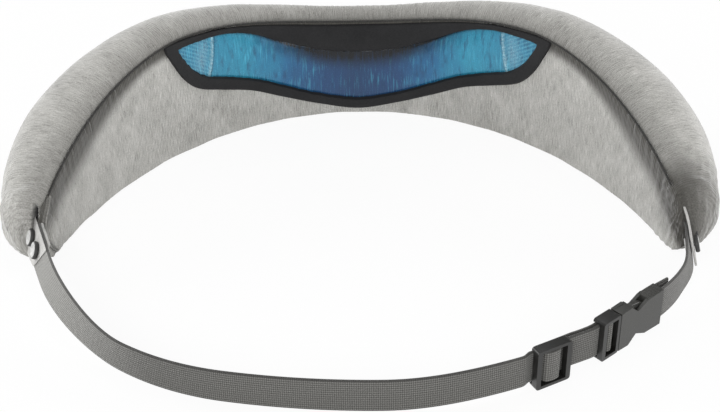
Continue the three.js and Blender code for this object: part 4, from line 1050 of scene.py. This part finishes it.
shell_plastic = moulded_plastic("shell_plastic", (0.016, 0.016, 0.018), (0.034, 0.034, 0.037), 0.5)
button_face = moulded_plastic("button_face", (0.10, 0.10, 0.098), (0.16, 0.16, 0.155), 0.42)
cap_profile = [(0.00001, 0.00085), (0.0022, 0.00092), (0.0040, 0.0010), (0.0049, 0.00095),
               (0.0053, 0.0006), (0.0054, 0.0001), (0.0054, -0.0015), (0.0062, -0.0016),
               (0.0062, -0.0023), (0.00001, -0.0023)]
cap = lathe("power_button_cap", cap_profile, button_face,
            lambda points: on_front(points, BUTTON_AT), 64)
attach(cap, "power_button")
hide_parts("power_button")
ring_profile = [(0.0057, -0.0001), (0.0059, 0.0003), (0.0064, 0.0006), (0.0069, 0.00055),
                (0.0073, 0.0001), (0.0073, -0.0032), (0.0065, -0.0032), (0.0065, -0.0012),
                (0.0057, -0.0012)]
ring = lathe("button_bezel_ring", ring_profile, shell_plastic,
             lambda points: on_front(points, BUTTON_AT), 72, joined=True)
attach(ring, "mask")
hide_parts("button_bezel")

# ---- charging inlet ----
# A plated steel receptacle in a moulded surround beside the button, and the board screws. They
# keep their moulded and pressed solids.


def metal(name, low, high, roughness):
    """Plated metal with fine scuffs."""
    made = Finish(name, Metallic=1.0, Roughness=roughness)
    place = made.object_place()
    scuffs = made.noise(place, 1300.0, 4.0, 0.7)
    made.drive(Base_Color=made.shade(scuffs, [(0.3, low), (0.7, high)]))
    made.drive(Roughness=scuffs * 0.2 + (roughness - 0.1))
    made.bump(scuffs, 0.00004, 0.3)
    return made


def coat(finish, *names):
    """Gives carried-over solids a finish."""
    for name in names:
        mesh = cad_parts[name].data
        if len(mesh.materials) == 0:
            mesh.materials.append(finish.material)
        for slot in range(len(mesh.materials)):
            mesh.materials[slot] = finish.material


steel = metal("steel", (0.34, 0.345, 0.35), (0.58, 0.585, 0.59), 0.32)
coat(steel, "charging_inlet", "pump_motor", *[f"board_screw_{n}" for n in range(1, 5)])
coat(shell_plastic, "inlet_surround", "chassis", "pump_head", "air_valve")

# ---- inside parts ----
# The air bladders and tubes are translucent silicone, the heater a copper-traced film, the board
# green laminate with a dome switch, and the cell is wrapped in blue film.


def plain(name, low, high, roughness, grain, depth, **more):
    """A soft or printed material in two tones."""
    return mottled(name, low, high, (grain, 3.0, 0.55), span=(0.32, 0.68), relief=(depth, 0.4),
                   Roughness=roughness, **more)


silicone = plain("silicone", (0.50, 0.53, 0.54), (0.66, 0.69, 0.70), 0.5, 300.0, 0.0001,
                 Subsurface_Weight=0.15, Subsurface_Scale=0.002)
coat(silicone, "left_air_bladder", "right_air_bladder", "pump_tube", "left_bladder_tube",
     "right_bladder_tube")
copper_film = Finish("copper_film", Roughness=0.45, Metallic=0.5)
place = copper_film.object_place()
across = copper_film.add("ShaderNodeSeparateXYZ", inputs={0: place})
traces = (across * 2200.0).math("SINE").step(0.1, 0.4)
copper_film.drive(Base_Color=copper_film.mix(traces, (0.55, 0.30, 0.10, 1), (0.45, 0.15, 0.045, 1)))
copper_film.bump(traces, 0.00005, 0.5)
coat(copper_film, "heating_film")
board_green = plain("board_green", (0.010, 0.075, 0.032), (0.020, 0.13, 0.060), 0.42, 500.0, 0.00004,
                    Coat_Weight=0.4)
coat(board_green, "circuit_board")
cell_wrap = plain("cell_wrap", (0.03, 0.09, 0.23), (0.05, 0.14, 0.33), 0.3, 200.0, 0.00005,
                  Coat_Weight=0.5)
coat(cell_wrap, "battery")
switch_dome = metal("switch_dome", (0.45, 0.455, 0.46), (0.66, 0.665, 0.67), 0.25)
coat(switch_dome, "dome_switch")
